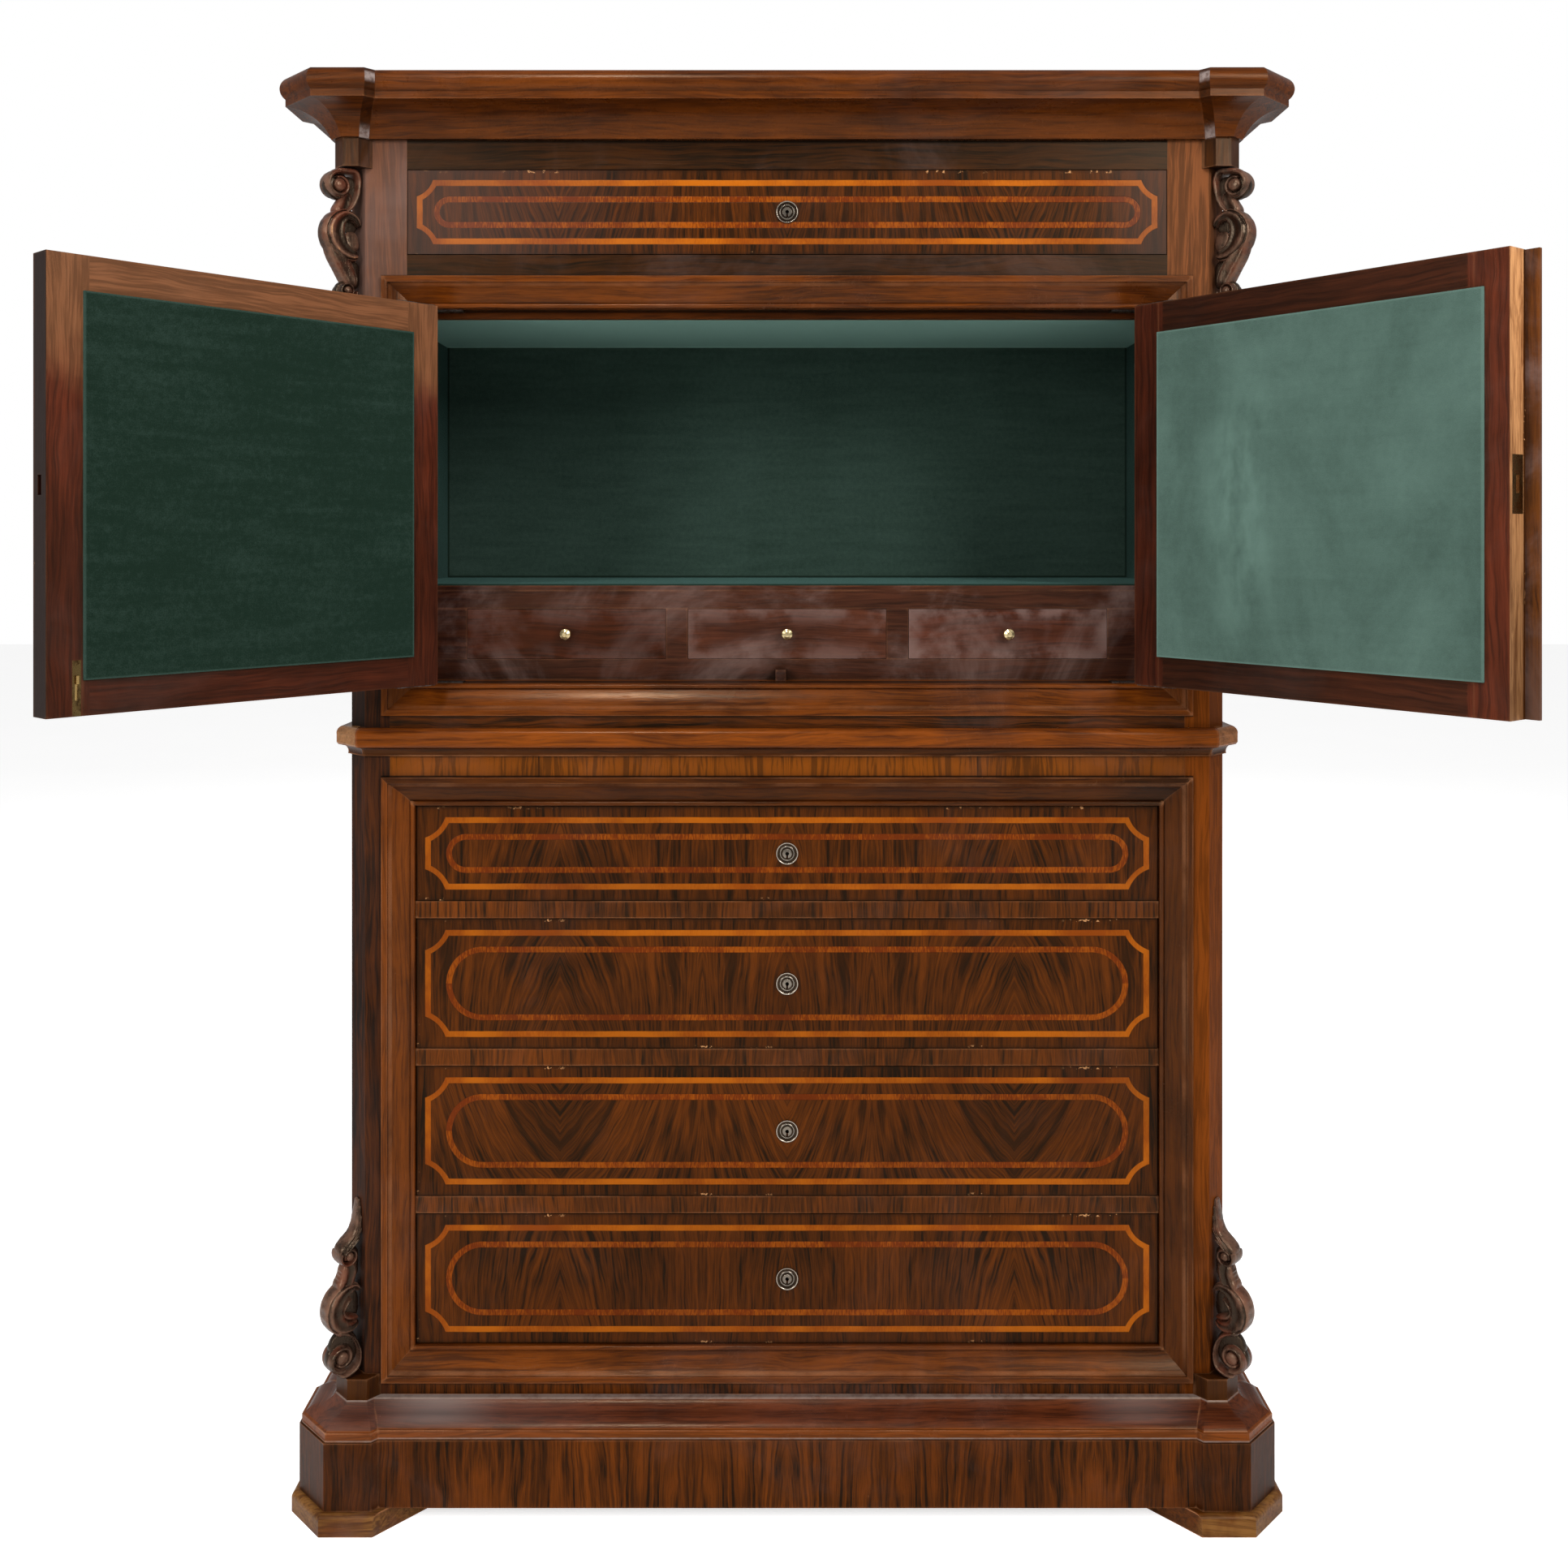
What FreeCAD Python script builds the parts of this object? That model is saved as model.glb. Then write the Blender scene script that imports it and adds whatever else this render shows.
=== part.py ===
import FreeCAD, Part
import math
import os

import Sketcher

# A tall walnut chiffonier: a plinth on four feet, four drawers in a moulded frame, a felt-lined
# cupboard behind two doors, a drawer in the frieze and a broken cornice over carved brackets.
# X runs to the right, Y into the case and Z up. The origin is under the middle of the whole box.

SIZES = {
    "case_wide": 1032.0,
    "case_deep": 372.0,
    "side_thick": 20.0,
    "back_thick": 14.0,
    "shelf_thick": 18.0,
    "corner_cant": 22.0,
    "post_deep": 44.0,
    "post_tail": 16.0,
    "foot_high": 24.0,
    "foot_out": 8.0,
    "foot_long": 78.0,
    "foot_round": 7.0,
    "base_rail_high": 155.0,
    "big_opening_high": 154.0,
    "top_opening_high": 113.0,
    "drawer_rail_high": 20.0,
    "drawer_rail_deep": 45.0,
    "waist_rail_high": 144.0,
    "door_opening_high": 442.0,
    "frieze_rail_high": 61.0,
    "frieze_opening_high": 100.0,
    "head_rail_high": 34.0,
    "cornice_high": 65.0,
    "stile_wide": 78.0,
    "frieze_stile_wide": 71.0,
    "frame_wide": 36.0,
    "frame_proud": 5.0,
    "face_recess": 14.0,
    "rebate_wide": 27.0,
    "rebate_deep": 22.0,
    "block_out": 13.0,
    "neck_face": 18.0,
    "neck_cant": 13.0,
    "neck_high": 33.0,
    "pedestal_face": 23.0,
    "pedestal_cant": 18.0,
    "pedestal_high": 24.0,
    "cornice_out": 57.0,
    "cornice_break": 10.0,
    "cornice_torus_high": 24.0,
    "cornice_fillet_high": 8.0,
    "cornice_fillet_back": 6.0,
    "cornice_cove_low": 4.0,
    "plinth_high": 77.0,
    "plinth_out": 38.0,
    "base_break": 6.0,
    "base_fillet_high": 10.0,
    "base_ogee_high": 17.0,
    "waist_low_above": 61.0,
    "waist_high": 33.0,
    "waist_out": 16.0,
    "upper_scroll_high": 157.0,
    "upper_scroll_out": 49.0,
    "lower_scroll_high": 204.0,
    "lower_scroll_out": 45.0,
    "scroll_thick": 26.0,
    "scroll_relief": 2.0,
    "meeting_gap": 3.0,
    "door_gap": 2.0,
    "door_end_gap": 3.0,
    "door_thick": 28.0,
    "door_frame_wide": 34.0,
    "door_panel_back": 2.0,
    "door_felt_thick": 3.0,
    "right_felt_lap": 10.0,
    "left_open_angle": 131.0,
    "right_open_angle": 127.0,
    "pivot_in": 3.0,
    "leaf_thick": 1.3,
    "leaf_long": 50.0,
    "leaf_wide": 16.0,
    "leaf_arm_wide": 9.0,
    "leaf_eye": 6.0,
    "pin_radius": 2.0,
    "pin_fit": 0.05,
    "stop_drop": 9.0,
    "stop_deep": 12.0,
    "lining_thick": 14.0,
    "felt_thick": 2.0,
    "drawer_gap": 1.0,
    "front_thick": 22.0,
    "box_side": 12.0,
    "box_bottom": 8.0,
    "box_side_gap": 1.5,
    "box_drop": 12.0,
    "box_tail": 12.0,
    "run_gap": 0.3,
    "runner_wide": 28.0,
    "guide_wide": 18.0,
    "lock_wide": 64.0,
    "lock_deep": 10.0,
    "lock_below": 18.0,
    "lock_fit": 0.3,
    "bolt_wide": 24.0,
    "bolt_thick": 5.0,
    "bolt_long": 16.0,
    "bolt_throw": 8.0,
    "mortise_slack": 2.0,
    "key_bore": 3.0,
    "escutcheon_radius": 12.8,
    "escutcheon_thick": 1.8,
    "keyhole_radius": 2.2,
    "keyhole_tail": 6.0,
    "keyhole_slot": 1.1,
    "nest_rail_low": 25.0,
    "nest_rail_top": 22.0,
    "nest_opening_high": 61.0,
    "nest_shelf_thick": 8.0,
    "nest_back_from_face": 62.0,
    "nest_frame_thick": 18.0,
    "nest_stile_wide": 93.9,
    "nest_mullion": 26.6,
    "nest_divider": 12.0,
    "nest_bed": 10.0,
    "nest_gap": 0.5,
    "nest_front_thick": 14.0,
    "nest_box_long": 200.0,
    "nest_box_side": 8.0,
    "nest_box_bottom": 5.0,
    "knob_radius": 7.0,
    "knob_neck": 3.0,
    "knob_rose": 5.5,
    "knob_rose_thick": 1.5,
    "knob_long": 15.0,
    "block_stop_wide": 12.5,
    "block_stop_high": 13.0,
    "block_stop_deep": 14.0,
    "flush_plate_wide": 8.0,
    "flush_plate_long": 53.0,
    "flush_plate_thick": 1.5,
    "flush_plate_in": 24.0,
    "flush_bolt_wide": 5.0,
    "flush_bolt_long": 37.0,
    "flush_throw": 9.0,
    "flush_thumb_long": 8.0,
    "flush_thumb_proud": 2.5,
    "flush_slot_low": 15.0,
    "flush_slot_long": 24.0,
    "screw_head": 2.2,
    "screw_proud": 0.4,
    "door_lock_high": 55.0,
    "door_lock_deep": 28.0,
    "door_lock_thick": 13.0,
    "door_lock_plate": 1.5,
    "door_lock_plate_wide": 20.0,
    "door_bolt_high": 17.0,
    "door_bolt_thick": 6.0,
    "door_bolt_long": 20.0,
    "door_key_in": 24.7,
    "door_escutcheon_radius": 8.8,
    "astragal_lap": 11.5,
    "astragal_grip": 15.0,
    "astragal_thick": 8.0,
    "astragal_clear": 0.3,
}

BACK_BOARDS = 6
BIG_DRAWERS = 3
NEST_DRAWERS = 3


# Sizes that know their own sheet formula

class Length:
    """A number together with the formula that gives it, so one sum serves both code and bindings."""

    def __init__(self, value, text):
        self.value = value
        self.text = text

    @staticmethod
    def of(other):
        return other if isinstance(other, Length) else Length(float(other), f"({other})")

    def __add__(self, other):
        other = Length.of(other)
        return Length(self.value + other.value, f"({self.text} + {other.text})")

    def __sub__(self, other):
        other = Length.of(other)
        return Length(self.value - other.value, f"({self.text} - {other.text})")

    def __mul__(self, other):
        other = Length.of(other)
        return Length(self.value * other.value, f"({self.text} * {other.text})")

    def __truediv__(self, other):
        other = Length.of(other)
        return Length(self.value / other.value, f"({self.text} / {other.text})")

    def __neg__(self):
        return Length(-self.value, f"(0 - {self.text})")


def sine(angle):
    return Length(math.sin(math.radians(angle.value)), f"sin({angle.text} * 1 deg)")


def cosine(angle):
    return Length(math.cos(math.radians(angle.value)), f"cos({angle.text} * 1 deg)")


doc = FreeCAD.newDocument("chiffonier")
sheet = doc.addObject("Spreadsheet::Sheet", "Sizes")
for row, (name, number) in enumerate(SIZES.items(), start=1):
    sheet.set(f"A{row}", name)
    sheet.set(f"B{row}", str(number))
    sheet.setAlias(f"B{row}", name)
doc.recompute()
levels = doc.addObject("App::VarSet", "Levels")


class Sheet:
    """The driving sizes by name."""

    def __getattr__(self, name):
        return Length(float(sheet.get(name)), f"Sizes.{name}")


S = Sheet()


def level(name, length):
    """Keeps a worked-out place as a named property of the document."""
    levels.addProperty("App::PropertyFloat", name)
    levels.setExpression(name, length.text)
    return Length(length.value, f"Levels.{name}")


# Heights from the floor up
floor = level("floor", S.foot_high * 0)
foot_top = level("foot_top", floor + S.foot_high)
plinth_top = level("plinth_top", foot_top + S.plinth_high)
ogee_top = level("ogee_top", plinth_top + S.base_fillet_high + S.base_ogee_high)
pedestal_top = level("pedestal_top", ogee_top + S.pedestal_high)
lower_low = level("lower_low", foot_top + S.base_rail_high)
bay = level("bay", S.big_opening_high + S.drawer_rail_high)
top_low = level("top_low", lower_low + bay * BIG_DRAWERS)
lower_top = level("lower_top", top_low + S.top_opening_high)
sill = level("sill", lower_top + S.waist_rail_high)
head = level("head", sill + S.door_opening_high)
frieze_low = level("frieze_low", head + S.frieze_rail_high)
frieze_top = level("frieze_top", frieze_low + S.frieze_opening_high)
cornice_low = level("cornice_low", frieze_top + S.head_rail_high)
top = level("top", cornice_low + S.cornice_high)
waist_low = level("waist_low", lower_top + S.waist_low_above)
waist_top = level("waist_top", waist_low + S.waist_high)
top_board_low = level("top_board_low", top - S.shelf_thick)
board_low = level("board_low", lower_low - S.drawer_rail_high)

# Widths from the middle out
half = level("half", S.case_wide / 2)
inner = level("inner", half - S.side_thick)
front_edge = level("front_edge", half - S.corner_cant)
opening = level("opening", half - S.stile_wide)
frieze_half = level("frieze_half", half - S.frieze_stile_wide)
rebate_edge = level("rebate_edge", opening + S.rebate_wide)

# Depths: the front plane stands so that the open doors and the case balance about Y zero
door_wide = level("door_wide", opening - S.door_gap - S.meeting_gap / 2)
door_back = level("door_back", S.face_recess + S.door_thick)
swing_wide = level("swing_wide", door_wide + S.door_gap - S.pivot_in)
reach = level("reach", swing_wide * sine(S.right_open_angle) - door_back * cosine(S.right_open_angle))
front = level("front", (reach - S.case_deep) / 2)
case_back = level("case_back", front + S.case_deep)
back_face = level("back_face", case_back - S.back_thick)
face = level("face", front + S.face_recess)
rebate_back = level("rebate_back", front + S.rebate_deep)
post_back = level("post_back", front + S.post_deep)
tail_back = level("tail_back", post_back + S.post_tail)
nest_face = level("nest_face", front + S.nest_back_from_face)
doc.recompute()

nodes = []


# Pieces made of boxes and cylinders

def bind_place(item, x, y, z):
    item.setExpression("Placement.Base.x", x.text)
    item.setExpression("Placement.Base.y", y.text)
    item.setExpression("Placement.Base.z", z.text)


def board(name, x, y, z):
    """A squared board between two places along each axis."""
    item = doc.addObject("Part::Box", name)
    for side, (low, high) in zip(("Length", "Width", "Height"), (x, y, z)):
        item.setExpression(side, (high - low).text)
    bind_place(item, x[0], y[0], z[0])
    return item


def pair(x):
    """The same stretch across on the left and on the right."""
    return (-x[1], -x[0]), x


def upright(name, centre, radius, z):
    """A round pin or bore standing between two heights."""
    item = doc.addObject("Part::Cylinder", name)
    item.setExpression("Radius", radius.text)
    item.setExpression("Height", (z[1] - z[0]).text)
    bind_place(item, centre[0], centre[1], z[0])
    return item


def bore_in(name, x, z, radius, y):
    """A round bore running into the case along Y."""
    item = doc.addObject("Part::Cylinder", name)
    item.Placement.Rotation = FreeCAD.Rotation(FreeCAD.Vector(1, 0, 0), -90)
    item.setExpression("Radius", radius.text)
    item.setExpression("Height", (y[1] - y[0]).text)
    bind_place(item, x, y[0], z)
    return item


def fused(name, items):
    item = doc.addObject("Part::MultiFuse", name)
    item.Shapes = items
    return item


def less(name, base, tools):
    item = doc.addObject("Part::Cut", name)
    item.Base = base
    item.Tool = tools[0] if len(tools) == 1 else fused(name + "_tools", tools)
    return item


def node(name, items):
    """One kept node: its pieces stay separate solids."""
    item = doc.addObject("Part::Compound", name + "_node")
    item.Links = items
    item.Label = name
    nodes.append(item)
    return item


def feature(name, shape):
    """A piece whose form needs mitres, curves or carving."""
    item = doc.addObject("Part::Feature", name)
    item.Shape = shape
    return item


# Sketched bodies

def body(name):
    item = doc.addObject("PartDesign::Body", name)
    item.Label = name
    return item


def sketch(owner, name, role, offset=None):
    item = owner.newObject("Sketcher::SketchObject", name)
    plane = next(f for f in owner.Origin.OriginFeatures if f.Role == role)
    item.AttachmentSupport = [(plane, "")]
    item.MapMode = "FlatFace"
    if offset is not None:
        item.setExpression("AttachmentOffset.Base.z", offset.text)
    return item


def outline(drawing, points):
    """A closed outline whose every corner is held by its own two sizes."""
    corners = [FreeCAD.Vector(x.value, y.value, 0) for x, y in points]
    first = drawing.GeometryCount
    count = len(corners)
    for index in range(count):
        drawing.addGeometry(Part.LineSegment(corners[index], corners[(index + 1) % count]), False)
    for index in range(count):
        following = first + (index + 1) % count
        drawing.addConstraint(Sketcher.Constraint("Coincident", first + index, 2, following, 1))
    for index, (x, y) in enumerate(points):
        for kind, length in (("DistanceX", x), ("DistanceY", y)):
            held = Sketcher.Constraint(kind, -1, 1, first + index, 1, length.value)
            drawing.setExpression(f"Constraints[{drawing.addConstraint(held)}]", length.text)


def circle(drawing, x, y, radius):
    centre = FreeCAD.Vector(x.value, y.value, 0)
    ring = drawing.addGeometry(Part.Circle(centre, FreeCAD.Vector(0, 0, 1), radius.value), False)
    for held, length in (
        (Sketcher.Constraint("Radius", ring, radius.value), radius),
        (Sketcher.Constraint("DistanceX", -1, 1, ring, 3, x.value), x),
        (Sketcher.Constraint("DistanceY", -1, 1, ring, 3, y.value), y),
    ):
        drawing.setExpression(f"Constraints[{drawing.addConstraint(held)}]", length.text)


def pad(owner, drawing, length):
    item = owner.newObject("PartDesign::Pad", drawing.Name + "_pad")
    item.Profile = drawing
    item.setExpression("Length", length.text)
    drawing.Visibility = False
    return item


# Mouldings: a section carried along a path and cut at its mitres

def vector(x, y, z):
    return FreeCAD.Vector(x, y, z)


def section_wire(parts, place):
    """Joins points into a wire. A part is a point, or a pair (through, end) for an arc."""
    edges = []
    here = parts[0]
    for part in parts[1:] + parts[:1]:
        if isinstance(part[0], tuple):
            through, end = part
            edges.append(Part.Arc(place(*here), place(*through), place(*end)).toShape())
            here = end
        elif math.dist(here, part) > 0:
            edges.append(Part.makeLine(place(*here), place(*part)))
            here = part
    return Part.Wire(edges)


def mitre(before, after):
    """The move of a corner when both of its runs go out by one."""
    share = 1 + before.dot(after)
    return (before + after) * (1 / share)


def run_normals(path, lift, closed):
    """The outward direction of every run of a path."""
    count = len(path)
    normals = []
    for index in range(count if closed else count - 1):
        along = path[(index + 1) % count] - path[index]
        normal = along.cross(lift)
        normal.normalize()
        normals.append(normal)
    return normals


def run_ends(path, normals, index, closed):
    """Both corners of a run, each with the way its mitre goes."""
    ends = []
    for corner, other in ((index, index - 1), (index + 1, index + 1)):
        if closed or 0 <= other < len(normals):
            way = mitre(normals[index], normals[other % len(normals)])
        else:
            way = normals[index]
        ends.append((path[corner % len(path)], way))
    return ends


def moulding(parts, path, lift, closed=False):
    """One mitred solid for each run of a path, from a section of (out, up) places."""
    places = [place for part in parts for place in flat(part)]
    outs = [place[0] for place in places]
    ups = [place[1] for place in places]
    margin = max(outs) - min(outs)
    normals = run_normals(path, lift, closed)
    solids = []
    for index, normal in enumerate(normals):
        (start, way_a), (end, way_b) = run_ends(path, normals, index, closed)
        along = end - start
        length = along.Length + 2 * margin
        along.normalize()
        base = start - along * margin

        def place(out, up, base=base, normal=normal):
            return base + normal * out + lift * up

        bar = Part.Face(section_wire(parts, place)).extrude(along * length)
        near, far = min(outs), max(outs) + margin / 4
        corners = [start + way_a * near, start + way_a * far]
        corners += [end + way_b * far, end + way_b * near]
        low, high = min(ups) - margin, max(ups) + margin
        wedge = Part.Face(Part.makePolygon([c + lift * low for c in corners + corners[:1]]))
        solids.append(bar.common(wedge.extrude(lift * (high - low))).Solids[0])
    return solids


def flat(part):
    return list(part) if isinstance(part[0], tuple) else [part]


def quarter(centre, radius, first, last):
    """An arc about a centre, as its middle and end, with angles in degrees."""
    places = []
    for angle in ((first + last) / 2, last):
        turn = math.radians(angle)
        places.append((centre[0] + radius * math.cos(turn), centre[1] + radius * math.sin(turn)))
    return tuple(places)


def block_path(cant, block_face, broken, base):
    """The plan of a run that breaks forward at both front corners, from back left to back right."""
    out = S.block_out.value
    side = half.value + out
    y0 = front.value
    run_x = side - broken
    run_y = y0 - out + broken
    reach_in = cant + block_face
    left = [
        (-run_x, case_back.value),
        (-run_x, y0 - out + reach_in + broken),
        (-side, y0 - out + reach_in),
        (-side, y0 - out + cant),
        (-side + cant, y0 - out),
        (-side + reach_in, y0 - out),
        (-side + reach_in + broken, run_y),
    ]
    right = [(-x, y) for x, y in reversed(left)]
    return [vector(x, y, base) for x, y in left + right]


def case_prism(low, high, grow=0.0):
    """The case's own outline with its canted front corners, as a solid."""
    cant = S.corner_cant.value
    wide = half.value + grow
    y0 = front.value
    left = [(-wide, case_back.value), (-wide, y0 + cant), (-half.value + cant, y0)]
    points = left + [(-x, y) for x, y in reversed(left)]
    ring = [vector(x, y, low) for x, y in points]
    return Part.Face(Part.makePolygon(ring + ring[:1])).extrude(vector(0, 0, high - low))


def broken_moulding(parts, cant, block_face, broken, low, high):
    """Sides, front and the two corner blocks of a moulding, the blocks filled to the case."""
    lift = vector(0, 0, 1)
    path = block_path(cant, block_face, broken, 0)
    root = S.block_out.value - broken
    solids = moulding(parts, path, lift)
    normals = run_normals(path, lift, False)
    case = case_prism(low, high)
    middle = len(solids) // 2
    pieces = [solids[0], solids[middle], solids[-1]]
    for first, last in ((1, middle), (middle + 1, len(solids) - 1)):
        back = [path[i] - run_ends(path, normals, i, False)[0][1] * root for i in (last, first)]
        side, face_end = (back[1], back[0]) if first == 1 else (back[0], back[1])
        inside = vector(face_end.x, side.y, 0)
        ring = path[first:last + 1] + [back[0], inside, back[1]]
        ring = [point + lift * low for point in ring]
        piece = Part.Face(Part.makePolygon(ring + ring[:1])).extrude(lift * (high - low))
        for other in solids[first:last]:
            piece = piece.fuse(other)
        pieces.append(piece.removeSplitter())
    return [piece.cut(case).Solids[0] for piece in pieces]


def make_cornice():
    low, high = cornice_low.value, top.value
    out = S.cornice_out.value
    torus = S.cornice_torus_high.value / 2
    fillet_top = high - 2 * torus
    fillet_low = fillet_top - S.cornice_fillet_high.value
    fillet_out = out - S.cornice_fillet_back.value
    cove_out = fillet_out - S.cornice_fillet_back.value / 2
    foot = S.cornice_cove_low.value
    drop = fillet_low - low
    bow = ((foot + cove_out) / 2 - drop * 0.30, low + drop * 0.58)
    root = (S.cornice_break - S.block_out).value
    parts = [
        (root, low),
        (foot, low),
        (bow, (cove_out, fillet_low)),
        (fillet_out, fillet_low),
        (fillet_out, fillet_top),
        ((out, high - torus), (out - torus / 2, high)),
        (root, high),
    ]
    args = (S.neck_cant.value, S.neck_face.value, S.cornice_break.value, low, high)
    return broken_moulding(parts, *args)


def make_base():
    out = S.plinth_out.value
    root = (S.base_break - S.block_out).value
    plinth = [
        (root, foot_top.value),
        (out, foot_top.value),
        (out, plinth_top.value),
        (root, plinth_top.value),
    ]
    fillet_top = plinth_top.value + S.base_fillet_high.value
    rise = S.base_ogee_high.value
    nose = out - S.base_fillet_high.value / 2
    middle = nose / 2
    waist = fillet_top + rise / 2
    ogee = [
        (root, plinth_top.value),
        (out - S.base_fillet_high.value / 4, plinth_top.value),
        (out - S.base_fillet_high.value / 4, fillet_top),
        (nose, fillet_top),
        ((nose * 0.80, fillet_top + rise * 0.36), (middle, waist)),
        ((nose * 0.20, waist + rise * 0.14), (0.0, ogee_top.value)),
        (root, ogee_top.value),
    ]
    args = (S.pedestal_cant.value, S.pedestal_face.value, S.base_break.value)
    middle_low = plinth_top.value
    return (broken_moulding(plinth, *args, foot_top.value, middle_low),
            broken_moulding(ogee, *args, middle_low, ogee_top.value))


def make_corner_blocks():
    """The plain blocks under the cornice corners and on the base's corners."""
    blocks = []
    for cant, wide, low, high in (
        (S.neck_cant, S.neck_face, cornice_low - S.neck_high, cornice_low),
        (S.pedestal_cant, S.pedestal_face, ogee_top, pedestal_top),
    ):
        path = block_path(cant.value, wide.value, S.block_out.value, low.value)[1:7]
        ring = path + [vector(path[-1].x, path[0].y, low.value), path[0]]
        block = Part.Face(Part.makePolygon(ring)).extrude(vector(0, 0, (high - low).value))
        block = block.cut(case_prism(low.value, high.value)).Solids[0]
        blocks += [block, block.mirror(vector(0, 0, 0), vector(1, 0, 0))]
    return blocks


def make_waist():
    out = S.waist_out.value
    low, high = waist_low.value, waist_top.value
    rise = high - low
    lip = rise * 0.30
    parts = [
        (0.0, low),
        (out * 0.25, low),
        ((out * 0.38, low + rise * 0.26), (out * 0.80, low + rise * 0.34)),
        (out * 0.88, low + rise * 0.34),
        (out, low + rise * 0.42),
        (out, high - lip),
        ((out * 0.92, high - lip * 0.35), (out * 0.62, high)),
        (0.0, high),
    ]
    cant = S.corner_cant.value
    y0 = front.value
    left = [(-half.value, case_back.value), (-half.value, y0 + cant), (-half.value + cant, y0)]
    points = left + [(-x, y) for x, y in reversed(left)]
    return moulding(parts, [vector(x, y, 0) for x, y in points], vector(0, 0, 1))


def make_frame(low, high):
    """The mitred moulding round an opening: a flat, a hollow running in and a bead at the edge."""
    wide = S.frame_wide.value
    proud = S.frame_proud.value
    deep = S.face_recess.value
    bead = wide * 0.085
    flat_in = wide * 0.80
    step = proud * 0.36
    parts = [
        (0.0, -S.rebate_deep.value),
        (S.rebate_wide.value, -S.rebate_deep.value),
        (S.rebate_wide.value, 0.0),
        (wide, 0.0),
        (wide, proud),
        (flat_in, proud),
        (flat_in, proud - step),
        ((wide * 0.42, -deep * 0.50), (bead * 2, -deep * 0.80)),
        ((bead, -deep * 0.80 + bead), (0.0, -deep * 0.80)),
    ]
    x = opening.value
    corners = [(-x, low.value), (x, low.value), (x, high.value), (-x, high.value)]
    path = [vector(px, front.value, pz) for px, pz in corners]
    return moulding(parts, path, vector(0, -1, 0), closed=True)


# Carved scrolls: places are shares of the bracket's reach out from the corner and of its height
UPPER_SCROLL_SHARES = (
    (0.00, 0.994), (0.29, 0.998), (0.53, 0.981), (0.78, 0.943), (0.94, 0.892), (0.99, 0.828),
    (0.93, 0.775), (0.80, 0.748), (0.66, 0.745), (0.50, 0.766), (0.39, 0.780), (0.36, 0.745),
    (0.42, 0.695), (0.55, 0.652), (0.69, 0.625), (0.84, 0.586), (0.94, 0.510), (0.88, 0.427),
    (0.71, 0.344), (0.49, 0.280), (0.31, 0.223), (0.24, 0.158), (0.42, 0.128), (0.61, 0.092),
    (0.65, 0.050), (0.52, 0.010), (0.25, 0.000), (0.00, 0.000),
)
UPPER_NOTCH_SHARES = (
    ((-0.05, 0.598), (0.14, 0.596), (0.36, 0.588), (0.51, 0.540), (0.49, 0.465), (0.33, 0.405),
     (0.12, 0.380), (-0.05, 0.376)),
    ((-0.05, 0.830), (0.05, 0.790), (0.10, 0.750), (0.22, 0.702), (0.31, 0.662), (0.22, 0.640),
     (0.08, 0.626), (-0.05, 0.622)),
    ((-0.05, 0.305), (0.08, 0.296), (0.15, 0.255), (0.08, 0.210), (-0.05, 0.200)),
)
UPPER_EYE_SHARES = ((0.53, 0.866, 0.34), (0.36, 0.068, 0.24))
LOWER_SCROLL_SHARES = (
    (0.00, 0.975), (0.08, 0.995), (0.18, 0.965), (0.17, 0.910), (0.16, 0.850), (0.25, 0.800),
    (0.43, 0.770), (0.62, 0.725), (0.69, 0.690), (0.62, 0.645), (0.38, 0.612), (0.24, 0.585),
    (0.33, 0.548), (0.60, 0.495), (0.80, 0.450), (0.91, 0.420), (0.98, 0.362), (0.89, 0.289),
    (0.73, 0.250), (0.58, 0.233), (0.56, 0.200), (0.64, 0.176), (0.84, 0.167), (0.99, 0.127),
    (0.99, 0.088), (0.84, 0.030), (0.62, 0.002), (0.00, 0.000),
)
LOWER_NOTCH_SHARES = (
    ((-0.05, 0.470), (0.20, 0.456), (0.42, 0.420), (0.55, 0.385), (0.44, 0.345), (0.18, 0.330),
     (-0.05, 0.320)),
    ((-0.05, 0.700), (0.06, 0.660), (0.08, 0.600), (0.16, 0.545), (0.10, 0.500), (-0.05, 0.496)),
    ((-0.05, 0.270), (0.14, 0.262), (0.26, 0.215), (0.20, 0.130), (0.10, 0.060), (-0.05, 0.050)),
)
LOWER_EYE_SHARES = ((0.37, 0.692, 0.26), (0.56, 0.120, 0.36))
HOLLOW_SHARES = (0.40, 0.64, 0.44)


def cut_face(shares, out, high):
    """A face whose first and last corners are sharp and whose other places lie on one curve."""
    places = [vector(x * out, 0, z * high) for x, z in shares]
    curve = Part.BSplineCurve()
    curve.interpolate(places[1:-1])
    edges = [
        Part.makeLine(places[0], places[1]),
        curve.toShape(),
        Part.makeLine(places[-2], places[-1]),
        Part.makeLine(places[-1], places[0]),
    ]
    return Part.Face(Part.Wire(edges))


def make_scroll(out, high, thick, relief, shares, notch_shares, eye_shares):
    """An S scroll cut through behind its curls, with a raised eye in a sunk ring at each volute."""
    across = vector(0, 1, 0)
    start = across * (-thick / 2)
    blank = cut_face(shares, out, high).extrude(across * thick)
    blank.translate(start)
    for notch in notch_shares:
        cutter = cut_face(notch, out, high).extrude(across * thick)
        cutter.translate(start)
        blank = blank.cut(cutter)
    eye, ring, rim = HOLLOW_SHARES
    for x, z, share in eye_shares:
        for side in (-1, 1):
            centre = across * (side * thick / 2) + vector(x * out, 0, z * high)
            inward = across * -side
            sunk = Part.makeCylinder(share * out * ring, relief, centre, inward)
            boss = Part.makeCone(share * out * rim, share * out * eye, relief * 2,
                                 centre + inward * relief, across * side)
            blank = blank.cut(sunk).fuse(boss)
    carved = blank.removeSplitter()
    if len(carved.Solids) > 1:
        raise RuntimeError("a scroll fell apart")
    return carved.Solids[0]


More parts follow.
